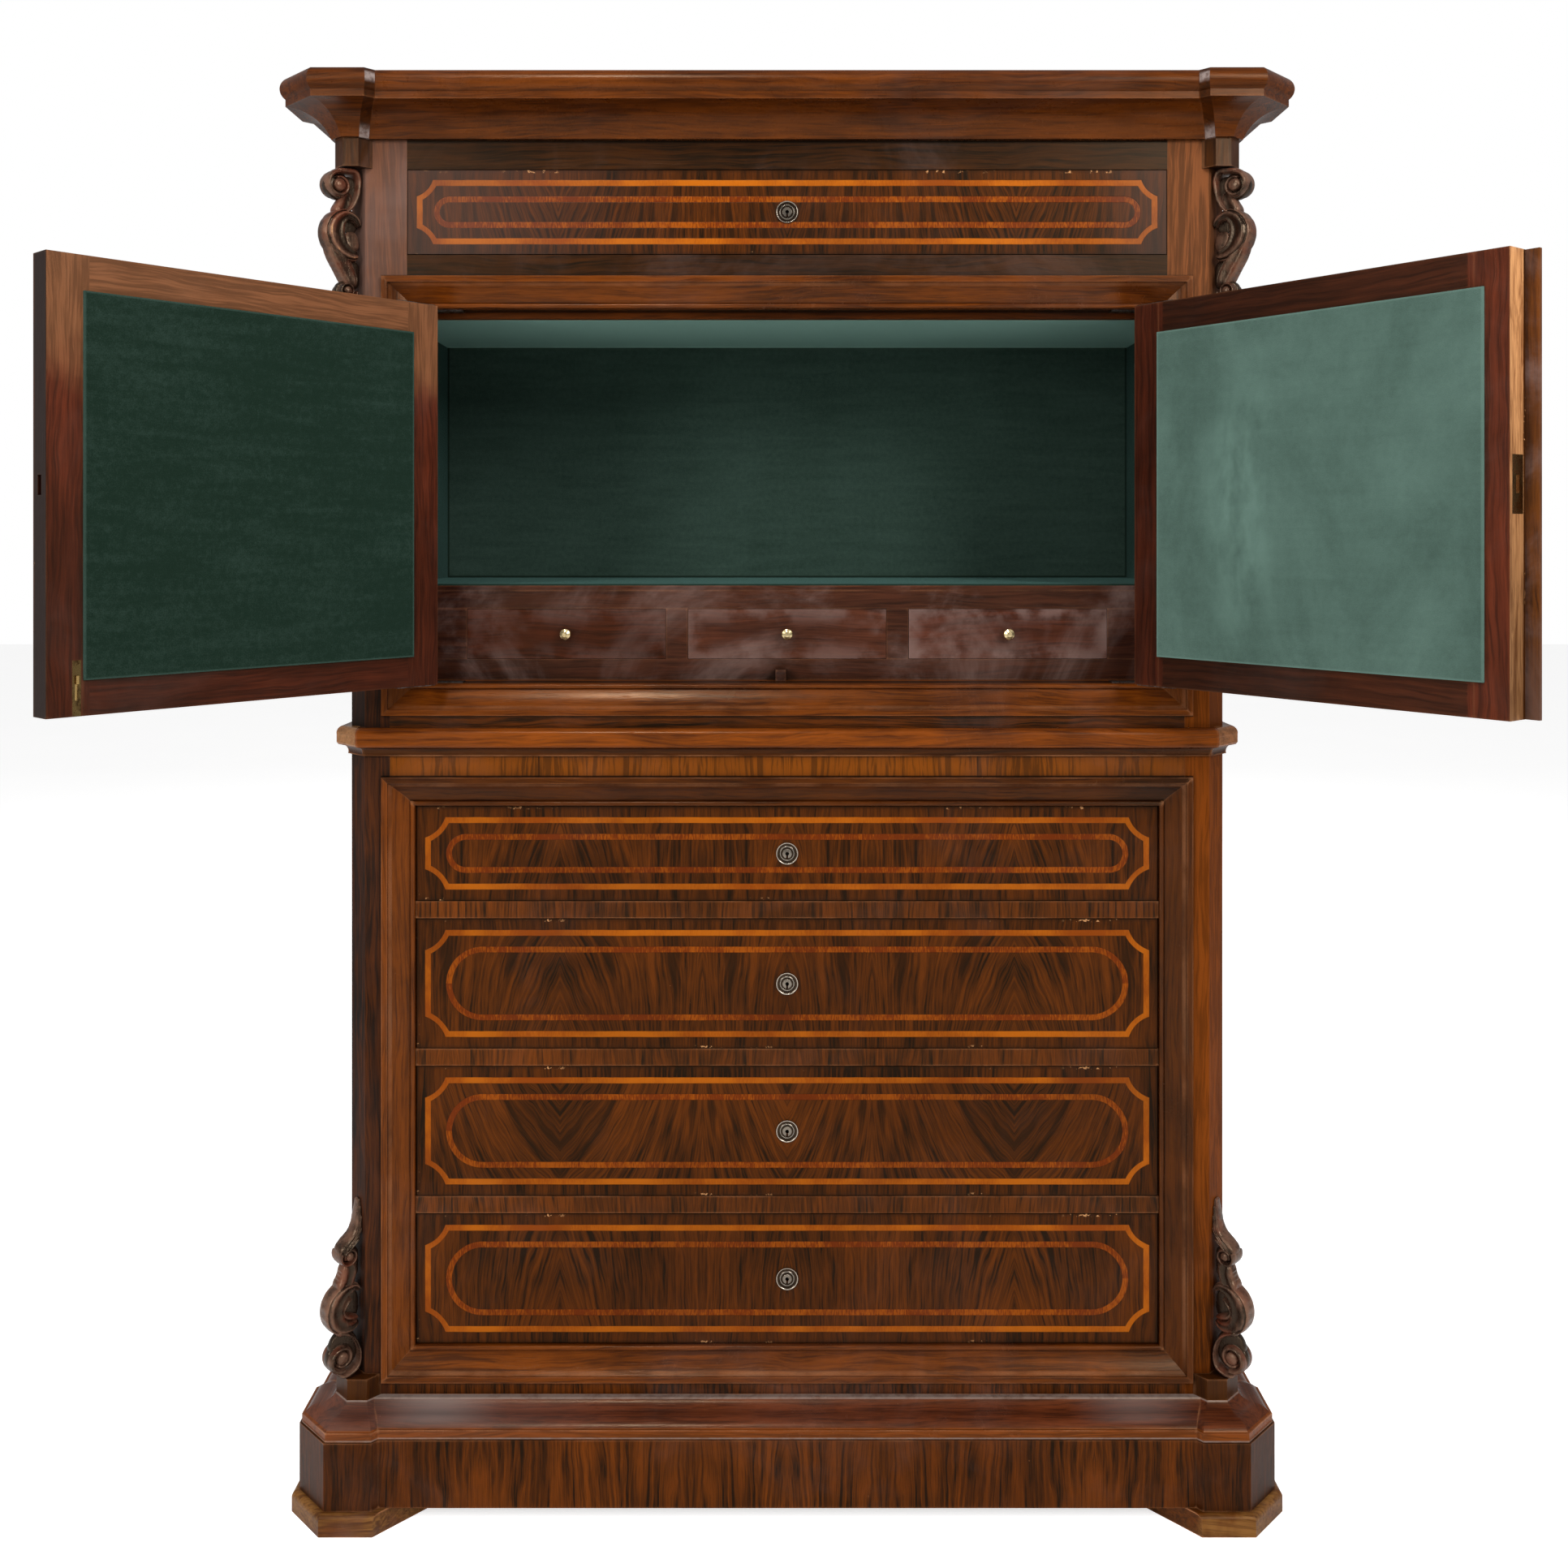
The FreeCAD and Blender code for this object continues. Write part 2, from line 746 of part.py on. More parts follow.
def make_scrolls():
    for name, high, out, low, shares, notches, eyes in (
        ("upper_scroll", S.upper_scroll_high, S.upper_scroll_out,
         cornice_low - S.neck_high - S.upper_scroll_high,
         UPPER_SCROLL_SHARES, UPPER_NOTCH_SHARES, UPPER_EYE_SHARES),
        ("lower_scroll", S.lower_scroll_high, S.lower_scroll_out, pedestal_top,
         LOWER_SCROLL_SHARES, LOWER_NOTCH_SHARES, LOWER_EYE_SHARES),
    ):
        thick, relief = S.scroll_thick.value, S.scroll_relief.value
        carved = make_scroll(out.value, high.value, thick, relief, shares, notches, eyes)
        for side, sign, angle in (("left", -1, 225), ("right", 1, 315)):
            item = feature(f"{name}_{side}", carved)
            item.Placement.Rotation = FreeCAD.Rotation(vector(0, 0, 1), angle)
            middle = half - S.corner_cant / 2
            bind_place(item, middle * sign, front + S.corner_cant / 2, low)
            item.Label = f"{name}_{side}"
            nodes.append(item)


# The case

def make_post(side, sign):
    """A canted corner post, rebated for the mouldings and full width beside the frieze."""
    post = body(f"post_{side}")
    start, change, end = foot_top, head + S.rebate_wide, top_board_low

    def mirrored(points):
        return [(x * sign, y) for x, y in points]

    canted = [(half, tail_back), (half, front + S.corner_cant), (front_edge, front)]
    tail = [(inner, post_back), (inner, tail_back)]
    lower = canted + [(rebate_edge, front), (rebate_edge, rebate_back)]
    lower += [(opening, rebate_back), (opening, post_back)] + tail
    upper = canted + [(frieze_half, front), (frieze_half, post_back)] + tail
    for name, points, low, high in (("lower", lower, start, change), ("upper", upper, change, end)):
        plan = sketch(post, f"post_{side}_{name}", "XY_Plane", low)
        outline(plan, mirrored(points))
        pad(post, plan, high - low)
    return post


def make_rails():
    """The fixed rails of the front, each rebated for the mouldings it carries."""
    full, sunk = (front, post_back), (rebate_back, post_back)
    shallow = (front, rebate_back)
    across, narrow = (-rebate_edge, rebate_edge), (-opening, opening)
    wide = (-frieze_half, frieze_half)
    base_change = lower_low - S.rebate_wide
    base = fused("base_rail", [
        board("base_rail_face", across, shallow, (foot_top, base_change)),
        board("base_rail_core", narrow, sunk, (foot_top, lower_low)),
    ])
    waist = fused("waist_rail_blank", [
        board("waist_rail_face", across, shallow,
              (lower_top + S.rebate_wide, sill - S.rebate_wide)),
        board("waist_rail_core", narrow, sunk, (lower_top, sill)),
    ])
    keeper_x = -(S.meeting_gap / 2 + S.flush_plate_in + S.flush_plate_wide / 2)
    keeper_y = front + door_back - S.flush_plate_thick - S.flush_bolt_wide / 2
    keeper_depth = S.flush_throw + S.mortise_slack
    keeper = upright("sill_keeper_bore", (keeper_x, keeper_y), S.flush_bolt_wide,
                     (sill - keeper_depth, sill))
    waist = less("waist_rail", waist, [lock_mortise("waist", lower_top, S.face_recess), keeper])
    frieze = fused("frieze_rail", [
        board("frieze_rail_face", wide, full, (head + S.rebate_wide, frieze_low)),
        board("frieze_rail_core", narrow, sunk, (head, head + S.rebate_wide)),
    ])
    head_rail = less("head_rail", board("head_rail_blank", wide, full, (frieze_top, top_board_low)),
                     [lock_mortise("frieze", frieze_top, S.face_recess * 0)])
    node("front_rails", [base, waist, frieze, head_rail])
    rails = []
    for index in range(BIG_DRAWERS):
        low = lower_low + bay * index + S.big_opening_high
        blank = board(f"rail_blank_{index}", narrow, (face, face + S.drawer_rail_deep),
                      (low, low + S.drawer_rail_high))
        rails.append(less(f"rail_{index}", blank, [lock_mortise(f"rail_{index}", low, S.face_recess)]))
    node("drawer_rails", rails)


def lock_y(recess):
    """Where a drawer's bolt stands: in the lock let into the back of the front."""
    middle = front + recess + S.front_thick - S.lock_deep / 2
    return middle - S.bolt_thick / 2, middle + S.bolt_thick / 2


def lock_mortise(name, low, recess):
    """The slot in the underside of a rail that takes a drawer's bolt."""
    slack = S.mortise_slack / 2
    y_low, y_high = lock_y(recess)
    wide = S.bolt_wide / 2 + slack
    return board(f"mortise_{name}", (-wide, wide), (y_low - slack, y_high + slack),
                 (low, low + S.bolt_throw + slack))


def make_top_board():
    """The board that closes the top, canted at the front like the case."""
    owner = body("top_board")
    plan = sketch(owner, "top_board_plan", "XY_Plane", top_board_low)
    left = [(-half, case_back), (-half, front + S.corner_cant), (-front_edge, front)]
    outline(plan, left + [(-x, y) for x, y in reversed(left)])
    pad(owner, plan, S.shelf_thick)
    return owner


def make_case():
    sides = [board(f"side_{i}", x, (tail_back, case_back), (foot_top, top_board_low))
             for i, x in enumerate(pair((inner, half)))]
    node("case_sides", sides)
    step = inner * 2 / BACK_BOARDS
    backs = [board(f"back_board_{i}", (step * i - inner, step * (i + 1) - inner),
                   (back_face, case_back), (foot_top, top_board_low)) for i in range(BACK_BOARDS)]
    node("back_boards", backs)
    deep = (post_back, back_face)
    wide = (-inner, inner)
    boards = [
        board("bottom_board", wide, deep, (board_low - S.shelf_thick, board_low)),
        board("waist_board", wide, deep, (lower_top, lower_top + S.shelf_thick)),
        board("cupboard_floor", wide, deep, (sill - S.shelf_thick, sill)),
        board("cupboard_ceiling", wide, deep,
              (head + S.felt_thick, head + S.felt_thick + S.shelf_thick)),
        make_top_board(),
        board("door_stop", (-opening, opening), (post_back, post_back + S.stop_deep),
              (head - S.stop_drop + S.felt_thick, head + S.felt_thick)),
    ]
    for index, x in enumerate(pair((inner - S.lining_thick, inner))):
        boards.append(board(f"cupboard_side_{index}", x, deep, (sill, head + S.felt_thick)))
    node("case_boards", boards)


def make_runners():
    deep = (post_back, back_face)
    guides, runners = [], []
    for name, edge, low, high in (
        ("lower", opening, board_low, lower_top),
        ("frieze", frieze_half, head + S.felt_thick + S.shelf_thick, frieze_top),
    ):
        for index, x in enumerate(pair((edge, edge + S.guide_wide))):
            guides.append(board(f"guide_{name}_{index}", x, deep, (low, high)))
    node("guide_boards", guides)
    rests = [(opening, lower_low + bay * i) for i in range(BIG_DRAWERS + 1)]
    rests.append((frieze_half, frieze_low))
    for row, (edge, high) in enumerate(rests):
        start = face + S.drawer_rail_deep if 0 < row <= BIG_DRAWERS else post_back
        for index, x in enumerate(pair((edge - S.runner_wide, edge))):
            runners.append(board(f"runner_{row}_{index}", x, (start, back_face),
                                 (high - S.drawer_rail_high, high)))
    node("drawer_runners", runners)


def make_foot(name, sign, behind):
    """A low foot with a rounded edge, wider than the plinth that stands on it."""
    foot = body(name)
    plan = sketch(foot, name + "_plan", "XY_Plane", floor)
    grow = S.plinth_out + S.foot_out
    side = half + S.block_out + grow
    slope = math.tan(math.radians(22.5))
    if behind:
        points = [(side, case_back), (side, case_back - S.foot_long),
                  (side - S.foot_long, case_back - S.foot_long), (side - S.foot_long, case_back)]
    else:
        nose = front - S.block_out - grow
        cant = S.pedestal_cant + grow * (2 - 2 * slope) / 2
        block = S.pedestal_face + grow * 2 * slope
        turn = side - cant - block
        points = [
            (side, nose + cant + S.foot_long), (side, nose + cant), (side - cant, nose),
            (turn, nose), (turn - S.foot_long, nose + S.foot_long),
            (turn - S.foot_long, nose + cant + S.foot_long),
        ]
    outline(plan, [(x * sign, y) for x, y in points])
    block_pad = pad(foot, plan, S.foot_high)
    doc.recompute()
    top_edges = []
    for number, edge in enumerate(block_pad.Shape.Edges, start=1):
        upper = all(abs(v.Z - S.foot_high.value) < S.pin_fit.value for v in edge.Vertexes)
        outer = min(abs(v.X) for v in edge.Vertexes) > (side - S.foot_long * 2).value
        level_back = all(abs(v.Y - case_back.value) < S.pin_fit.value for v in edge.Vertexes)
        if upper and outer and not level_back:
            top_edges.append(f"Edge{number}")
    rounding = foot.newObject("PartDesign::Fillet", name + "_round")
    rounding.Base = (block_pad, top_edges)
    rounding.setExpression("Radius", S.foot_round.text)
    return foot


def make_feet():
    feet = []
    for side, sign in (("left", -1), ("right", 1)):
        for end, behind in (("front", False), ("rear", True)):
            feet.append(make_foot(f"foot_{end}_{side}", sign, behind))
    node("feet", feet)


# The drawers

# The sunk ring of an escutcheon, as shares of its radius
RING_SHARES = (0.80, 0.52)


def keyhole(name, x, z, y):
    """A round hole with a slot below it, running along Y."""
    tail = board(name + "_tail", (x - S.keyhole_slot, x + S.keyhole_slot), y,
                 (z - S.keyhole_tail, z))
    return fused(name, [bore_in(name + "_eye", x, z, S.keyhole_radius, y), tail])


def escutcheon(name, x, z, y_back, radius):
    """A turned plate: a flat rim, a sunk ring and a raised middle round the keyhole."""
    y_front = y_back - S.escutcheon_thick
    sunk = (y_front, y_front + S.escutcheon_thick / 3)
    disc = bore_in(name + "_disc", x, z, radius, (y_front, y_back))
    outer = bore_in(name + "_ring", x, z, radius * RING_SHARES[0], sunk)
    core = bore_in(name + "_core", x, z, radius * RING_SHARES[1], sunk)
    ring = less(name + "_groove", outer, [core])
    return less(name, disc, [ring, keyhole(name + "_hole", x, z, (y_front, y_back))])


def make_drawer(name, edge, low, high, recess):
    """A drawer: a veneered front, a dovetailed box behind it, and a lock whose bolt slides up."""
    gap = S.drawer_gap
    y0 = front + recess
    y1 = y0 + S.front_thick
    z_low, z_high = low + gap, high - gap
    middle = (low + high) / 2
    centre = middle * 0
    half_front = edge - gap
    lock_low = middle - S.lock_below
    fit = S.lock_fit
    blank = board(f"{name}_blank", (-half_front, half_front), (y0, y1), (z_low, z_high))
    lock_half = S.lock_wide / 2
    recess_cut = board(f"{name}_lock_recess", (-lock_half - fit, lock_half + fit),
                       (y1 - S.lock_deep, y1), (lock_low - fit, z_high))
    bore = bore_in(f"{name}_key_bore", centre, middle, S.key_bore, (y0, y1 - S.lock_deep))
    node(f"{name}_front", [less(f"{name}_cut_front", blank, [recess_cut, bore])])

    box_half = edge - S.box_side_gap
    y2 = back_face - S.box_tail
    base = low + S.run_gap
    rim = high - S.box_drop
    floor_top = base + S.box_bottom * 2
    parts = [board(f"{name}_side_{i}", x, (y1, y2), (base, rim))
             for i, x in enumerate(pair((box_half - S.box_side, box_half)))]
    clear = box_half - S.box_side
    parts.append(board(f"{name}_tail", (-clear, clear), (y2 - S.box_side, y2), (base, rim)))
    parts.append(board(f"{name}_bottom", (-clear, clear), (y1, y2 - S.box_side),
                       (floor_top - S.box_bottom, floor_top)))
    node(f"{name}_box", parts)

    bolt_y = lock_y(recess)
    bolt_half = S.bolt_wide / 2
    case = board(f"{name}_lock_case", (-lock_half, lock_half), (y1 - S.lock_deep, y1),
                 (lock_low, z_high))
    slot = board(f"{name}_bolt_slot", (-bolt_half - fit, bolt_half + fit),
                 (bolt_y[0] - fit, bolt_y[1] + fit), (z_high - S.bolt_long - fit, z_high))
    way = bore_in(f"{name}_lock_way", centre, middle, S.keyhole_radius,
                  (y1 - S.lock_deep, y1 - S.lock_deep / 2))
    node(f"{name}_lock", [less(f"{name}_lock_body", case, [slot, way]),
                          escutcheon(f"{name}_escutcheon", centre, middle, y0,
                                     S.escutcheon_radius)])
    node(f"{name}_bolt", [board(f"{name}_bolt_bar", (-bolt_half, bolt_half), bolt_y,
                                (z_high - S.bolt_long, z_high))])


def make_drawers():
    make_drawer("frieze_drawer", frieze_half, frieze_low, frieze_top, S.face_recess * 0)
    make_drawer("drawer_1", opening, top_low, lower_top, S.face_recess)
    for index in range(BIG_DRAWERS):
        low = lower_low + bay * (BIG_DRAWERS - 1 - index)
        make_drawer(f"drawer_{index + 2}", opening, low, low + S.big_opening_high, S.face_recess)


# The nest of small drawers in the cupboard

nest_low = level("nest_low", sill + S.nest_rail_low)
nest_high = level("nest_high", nest_low + S.nest_opening_high)
nest_rail = level("nest_rail", nest_high + S.nest_rail_top)
nest_top = level("nest_top", nest_rail + S.nest_shelf_thick)
lining_face = level("lining_face", inner - S.lining_thick)
nest_span = level("nest_span", lining_face - S.nest_stile_wide)
nest_pitch = level("nest_pitch", (nest_span * 2 + S.nest_mullion) / NEST_DRAWERS)
nest_wide = level("nest_wide", nest_pitch - S.nest_mullion)


def nest_bay(index):
    """Left and right edges of one small drawer's opening."""
    middle = nest_pitch * (index - (NEST_DRAWERS - 1) / 2)
    return middle - nest_wide / 2, middle + nest_wide / 2


def make_nest():
    thick = (nest_face, nest_face + S.nest_frame_thick)
    wide = (-lining_face, lining_face)
    behind = (thick[1], back_face)
    opening_z = (nest_low, nest_high)
    pieces = [
        board("nest_low_rail", wide, thick, (sill, nest_low)),
        board("nest_top_rail", wide, thick, (nest_high, nest_rail)),
        board("nest_shelf", wide, (nest_face, back_face), (nest_rail, nest_top - S.felt_thick)),
        board("nest_bed", wide, behind, (nest_low - S.nest_bed, nest_low)),
    ]
    for index, x in enumerate(pair((nest_span, lining_face))):
        pieces.append(board(f"nest_stile_{index}", x, thick, opening_z))
        near = (nest_span, nest_span + S.nest_divider)
        pieces.append(board(f"nest_guide_{index}", pair(near)[index], behind, (nest_low, nest_rail)))
    half_mullion = S.nest_mullion / 2
    for index in range(NEST_DRAWERS - 1):
        middle = nest_bay(index)[1] + half_mullion
        pieces.append(board(f"nest_mullion_{index}", (middle - half_mullion, middle + half_mullion),
                            thick, opening_z))
        pieces.append(board(f"nest_divider_{index}",
                            (middle - S.nest_divider / 2, middle + S.nest_divider / 2),
                            behind, (nest_low, nest_rail)))
    edge = -(S.meeting_gap / 2)
    pieces.append(board("sill_stop_block", (edge - S.block_stop_wide, edge),
                        (nest_face - S.block_stop_deep, nest_face),
                        (sill, sill + S.block_stop_high)))
    node("small_drawer_case", pieces)
    felt = S.felt_thick
    stop_back = post_back + S.stop_deep
    linings = [
        board("felt_back", wide, (back_face - felt, back_face), (nest_top, head)),
        board("felt_floor", wide, (nest_face, back_face), (nest_top - felt, nest_top)),
        board("felt_ceiling", wide, (stop_back, back_face), (head, head + felt)),
    ]
    for index, x in enumerate(pair((lining_face - felt, lining_face))):
        linings.append(board(f"felt_side_{index}", x, (stop_back, back_face - felt),
                             (nest_top, head)))
    node("felt_lining", linings)
    for index in range(NEST_DRAWERS):
        make_small_drawer(f"small_drawer_{index + 1}", *nest_bay(index))


def make_small_drawer(name, left, right):
    gap = S.nest_gap
    x0, x1 = left + gap, right - gap
    y1 = nest_face + S.nest_front_thick
    y2 = y1 + S.nest_box_long
    base = nest_low + S.run_gap
    rim = nest_high - gap * 4
    side = S.nest_box_side
    parts = [
        board(f"{name}_front", (x0, x1), (nest_face, y1), (nest_low + gap, nest_high - gap)),
        board(f"{name}_left", (x0, x0 + side), (y1, y2), (base, rim)),
        board(f"{name}_right", (x1 - side, x1), (y1, y2), (base, rim)),
        board(f"{name}_tail", (x0 + side, x1 - side), (y2 - side, y2), (base, rim)),
        board(f"{name}_bottom", (x0 + side, x1 - side), (y1, y2 - side),
              (base, base + S.nest_box_bottom)),
    ]
    node(name, parts)
    knob = body(f"{name}_knob")
    turned = sketch(knob, f"{name}_knob_section", "XY_Plane")
    zero = floor
    outline(turned, [
        (zero, zero), (S.knob_rose, zero), (S.knob_rose, -S.knob_rose_thick),
        (S.knob_neck, -S.knob_rose_thick * 1.5), (S.knob_neck * 0.8, -S.knob_long * 0.35),
        (S.knob_radius * 0.75, -S.knob_long * 0.48), (S.knob_radius, -S.knob_long * 0.66),
        (S.knob_radius * 0.88, -S.knob_long * 0.86), (S.knob_radius * 0.45, -S.knob_long * 0.98),
        (zero, -S.knob_long),
    ])
    spun = knob.newObject("PartDesign::Revolution", f"{name}_knob_turned")
    spun.Profile = turned
    spun.ReferenceAxis = (turned, ["V_Axis"])
    spun.Angle = 360
    bind_place(knob, (left + right) / 2, nest_face, (nest_low + nest_high) / 2)
    nodes.append(knob)


# The doors, drawn closed and then swung open about their pivots

def swing(item, sign, angle):
    """Turns a closed piece about its door's pivot to where the door stands open."""
    turned = angle * sign
    x = (opening - S.pivot_in) * sign
    item.Placement.Rotation = FreeCAD.Rotation(vector(0, 0, 1), turned.value)
    item.setExpression("Placement.Rotation.Angle", turned.text)
    item.setExpression("Placement.Base.x", (x - x * cosine(turned) + front * sine(turned)).text)
    item.setExpression("Placement.Base.y", (front - x * sine(turned) - front * cosine(turned)).text)


def across(sign, x):
    """A stretch given on the right-hand door, mirrored for the left-hand one."""
    low, high = x
    return (low, high) if sign > 0 else (-high, -low)


def make_leaf(name, sign, low, high):
    """A cranked pivot leaf: a plate let along the door's edge, with an arm forward to the pin."""
    x_pin = opening - S.pivot_in
    arm_half = S.leaf_arm_wide / 2
    plate_y = (front + door_back - S.flush_plate_thick * 2 - S.leaf_wide,
               front + door_back - S.flush_plate_thick * 2)
    arm_in = x_pin - arm_half * 1.5
    plate = board(name + "_plate", across(sign, (x_pin - S.leaf_long, x_pin)), plate_y, (low, high))
    arm = board(name + "_arm", across(sign, (arm_in, arm_in + S.leaf_arm_wide)),
                (front, plate_y[0]), (low, high))
    eye = upright(name + "_eye", (x_pin * sign, front), S.leaf_eye, (low, high))
    return fused(name, [plate, arm, eye])


def make_pivots():
    """Two leaves on each door and two on the case, the case's leaves carrying the pins."""
    door_low, door_high = sill + S.door_end_gap, head - S.door_end_gap
    fixed = []
    for side, sign, angle in (("left", -1, S.left_open_angle), ("right", 1, S.right_open_angle)):
        moving = []
        centre = ((opening - S.pivot_in) * sign, front)
        for end, edge, moving_z, fixed_z in (
            ("top", door_high, (door_high, door_high + S.leaf_thick), (head - S.leaf_thick, head)),
            ("bottom", door_low, (door_low - S.leaf_thick, door_low), (sill, sill + S.leaf_thick)),
        ):
            name = f"leaf_{side}_{end}"
            hole = upright(name + "_hole", centre, S.pin_radius + S.pin_fit, moving_z)
            moving.append(less(name, make_leaf(name + "_blank", sign, *moving_z), [hole]))
            pin_z = (moving_z[0], fixed_z[0]) if end == "top" else (fixed_z[1], moving_z[1])
            pin = upright(name + "_pin", centre, S.pin_radius, pin_z)
            fixed.append(fused(name + "_fixed", [make_leaf(name + "_seat", sign, *fixed_z), pin]))
        swing(node(f"door_{side}_pivots", moving), sign, angle)
    node("case_pivots", fixed)


def door_frame(side, sign, cuts_free, lap):
    """Stiles, rails and panel of a door, with what its fittings take out of the free stile.
    The felt pad covers the panel and laps over the free stile."""
    y = (face, front + door_back)
    z = (sill + S.door_end_gap, head - S.door_end_gap)
    free = S.meeting_gap / 2
    hung = free + door_wide
    wide = S.door_frame_wide
    inner_x = (free + wide, hung - wide)
    inner_z = (z[0] + wide, z[1] - wide)
    free_stile = less(f"door_{side}_free_stile",
                      board(f"door_{side}_free_blank", across(sign, (free, free + wide)), y, z),
                      cuts_free)
    members = [
        free_stile,
        board(f"door_{side}_hung_stile", across(sign, (hung - wide, hung)), y, z),
        board(f"door_{side}_low_rail", across(sign, inner_x), y, (z[0], inner_z[0])),
        board(f"door_{side}_top_rail", across(sign, inner_x), y, (inner_z[1], z[1])),
        board(f"door_{side}_panel", across(sign, inner_x), (y[0] + S.door_panel_back, y[1]), inner_z),
    ]
    felt = board(f"door_{side}_pad", across(sign, (inner_x[0] - lap, inner_x[1])),
                 (y[1], y[1] + S.door_felt_thick), inner_z)
    return members, felt


def make_left_door():
    y_in = front + door_back
    free = S.meeting_gap / 2
    low = sill + S.door_end_gap
    middle_z = (sill + head) / 2
    fit = S.lock_fit
    x0 = free + S.flush_plate_in
    x1 = x0 + S.flush_plate_wide
    centre = (x0 + x1) / 2
    bolt_half = S.flush_bolt_wide / 2
    plate_y = (y_in - S.flush_plate_thick, y_in)
    channel_y = (plate_y[0] - S.flush_bolt_wide - fit, plate_y[0])
    run = S.flush_slot_low + S.flush_slot_long
    cuts = [
        board("flush_seat", across(-1, (x0, x1)), plate_y, (low, low + S.flush_plate_long)),
        board("flush_channel", across(-1, (centre - bolt_half - fit, centre + bolt_half + fit)),
              channel_y, (low, low + run)),
        board("door_strike", across(-1, (free, free + S.bolt_throw + S.mortise_slack)),
              (face + (S.door_thick - S.door_bolt_thick) / 2 - S.mortise_slack / 2,
               face + (S.door_thick + S.door_bolt_thick) / 2 + S.mortise_slack / 2),
              (middle_z - S.door_bolt_high / 2 - S.mortise_slack / 2,
               middle_z + S.door_bolt_high / 2 + S.mortise_slack / 2)),
    ]
    members, felt = door_frame("left", -1, cuts, floor)
    plate = board("flush_plate_blank", across(-1, (x0, x1)), plate_y, (low, low + S.flush_plate_long))
    slot_low = low + S.flush_slot_low
    slot = board("flush_slot", across(-1, (centre - bolt_half / 2 - fit, centre + bolt_half / 2 + fit)),
                 plate_y, (slot_low - fit, slot_low + S.flush_slot_long))
    ends = (low + S.flush_plate_wide / 2, low + S.flush_plate_long - S.flush_plate_wide / 2)
    holes = [bore_in(f"flush_hole_{i}", -centre, z, S.screw_head + S.pin_fit, plate_y)
             for i, z in enumerate(ends)]
    screws = [bore_in(f"flush_screw_{i}", -centre, z, S.screw_head,
                      (plate_y[0], plate_y[1] + S.screw_proud)) for i, z in enumerate(ends)]
    bar = board("flush_bar", across(-1, (centre - bolt_half, centre + bolt_half)),
                (plate_y[0] - S.flush_bolt_wide, plate_y[0] - S.pin_fit), (low, low + S.flush_bolt_long))
    thumb_top = slot_low + S.flush_slot_long - fit
    thumb = board("flush_thumb", across(-1, (centre - bolt_half / 2, centre + bolt_half / 2)),
                  (plate_y[0] - S.flush_bolt_wide, y_in + S.flush_thumb_proud),
                  (thumb_top - S.flush_thumb_long, thumb_top))
    for name, pieces in (
        ("door_left_leaf", members),
        ("door_left_felt", [felt]),
        ("flush_bolt_plate", [less("flush_plate", plate, [slot] + holes)] + screws),
        ("flush_bolt", [fused("flush_bolt_bar", [bar, thumb])]),
    ):
        swing(node(name, pieces), -1, S.left_open_angle)


def make_right_door():
    free = S.meeting_gap / 2
    z0, z1 = sill + S.door_end_gap, head - S.door_end_gap
    middle_z = (sill + head) / 2
    middle_y = face + S.door_thick / 2
    fit = S.lock_fit
    high = (middle_z - S.door_lock_high / 2, middle_z + S.door_lock_high / 2)
    plate_x = (free, free + S.door_lock_plate)
    case_x = (plate_x[1], free + S.door_lock_deep)
    plate_y = (middle_y - S.door_lock_plate_wide / 2, middle_y + S.door_lock_plate_wide / 2)
    case_y = (middle_y - S.door_lock_thick / 2, middle_y + S.door_lock_thick / 2)
    key_x = free + S.door_key_in
    cuts = [
        board("door_lock_seat", plate_x, plate_y, high),
        board("door_lock_mortise", (plate_x[0], case_x[1] + fit), (case_y[0] - fit, case_y[1] + fit),
              (high[0] + fit * 8, high[1] - fit * 8)),
        bore_in("door_key_bore", key_x, middle_z, S.key_bore, (face, case_y[0])),
    ]
    members, felt = door_frame("right", 1, cuts, S.right_felt_lap)
    bolt_y = (middle_y - S.door_bolt_thick / 2, middle_y + S.door_bolt_thick / 2)
    bolt_z = (middle_z - S.door_bolt_high / 2, middle_z + S.door_bolt_high / 2)
    case = fused("door_lock_blank", [
        board("door_lock_face", plate_x, plate_y, high),
        board("door_lock_box", case_x, case_y, (high[0] + fit * 9, high[1] - fit * 9)),
    ])
    slot = board("door_bolt_slot", (free, free + S.door_bolt_long + fit),
                 (bolt_y[0] - fit, bolt_y[1] + fit), (bolt_z[0] - fit, bolt_z[1] + fit))
    lock = less("door_lock_body", case, [slot])
    plate = escutcheon("door_escutcheon", key_x, middle_z, face, S.door_escutcheon_radius)
    bolt = board("door_lock_bolt_bar", (free, free + S.door_bolt_long), bolt_y, bolt_z)
    strip = body("door_astragal")
    plan = sketch(strip, "astragal_plan", "XY_Plane", z0)
    nose = face - S.astragal_thick
    lap = face - S.astragal_clear
    shoulder = S.astragal_thick * 0.4
    outline(plan, [
        (free + S.astragal_grip, face), (free, face), (free, lap), (-S.astragal_lap, lap),
        (-S.astragal_lap, nose + shoulder), (shoulder - S.astragal_lap, nose),
        (free + S.astragal_grip - shoulder, nose), (free + S.astragal_grip, nose + shoulder),
    ])
    pad(strip, plan, z1 - z0)
    for name, pieces in (
        ("door_right_leaf", members),
        ("door_right_felt", [felt]),
        ("door_lock", [lock, plate]),
        ("door_lock_bolt", [bolt]),
    ):
        swing(node(name, pieces), 1, S.right_open_angle)
    swing(strip, 1, S.right_open_angle)
    nodes.append(strip)


# Putting it together

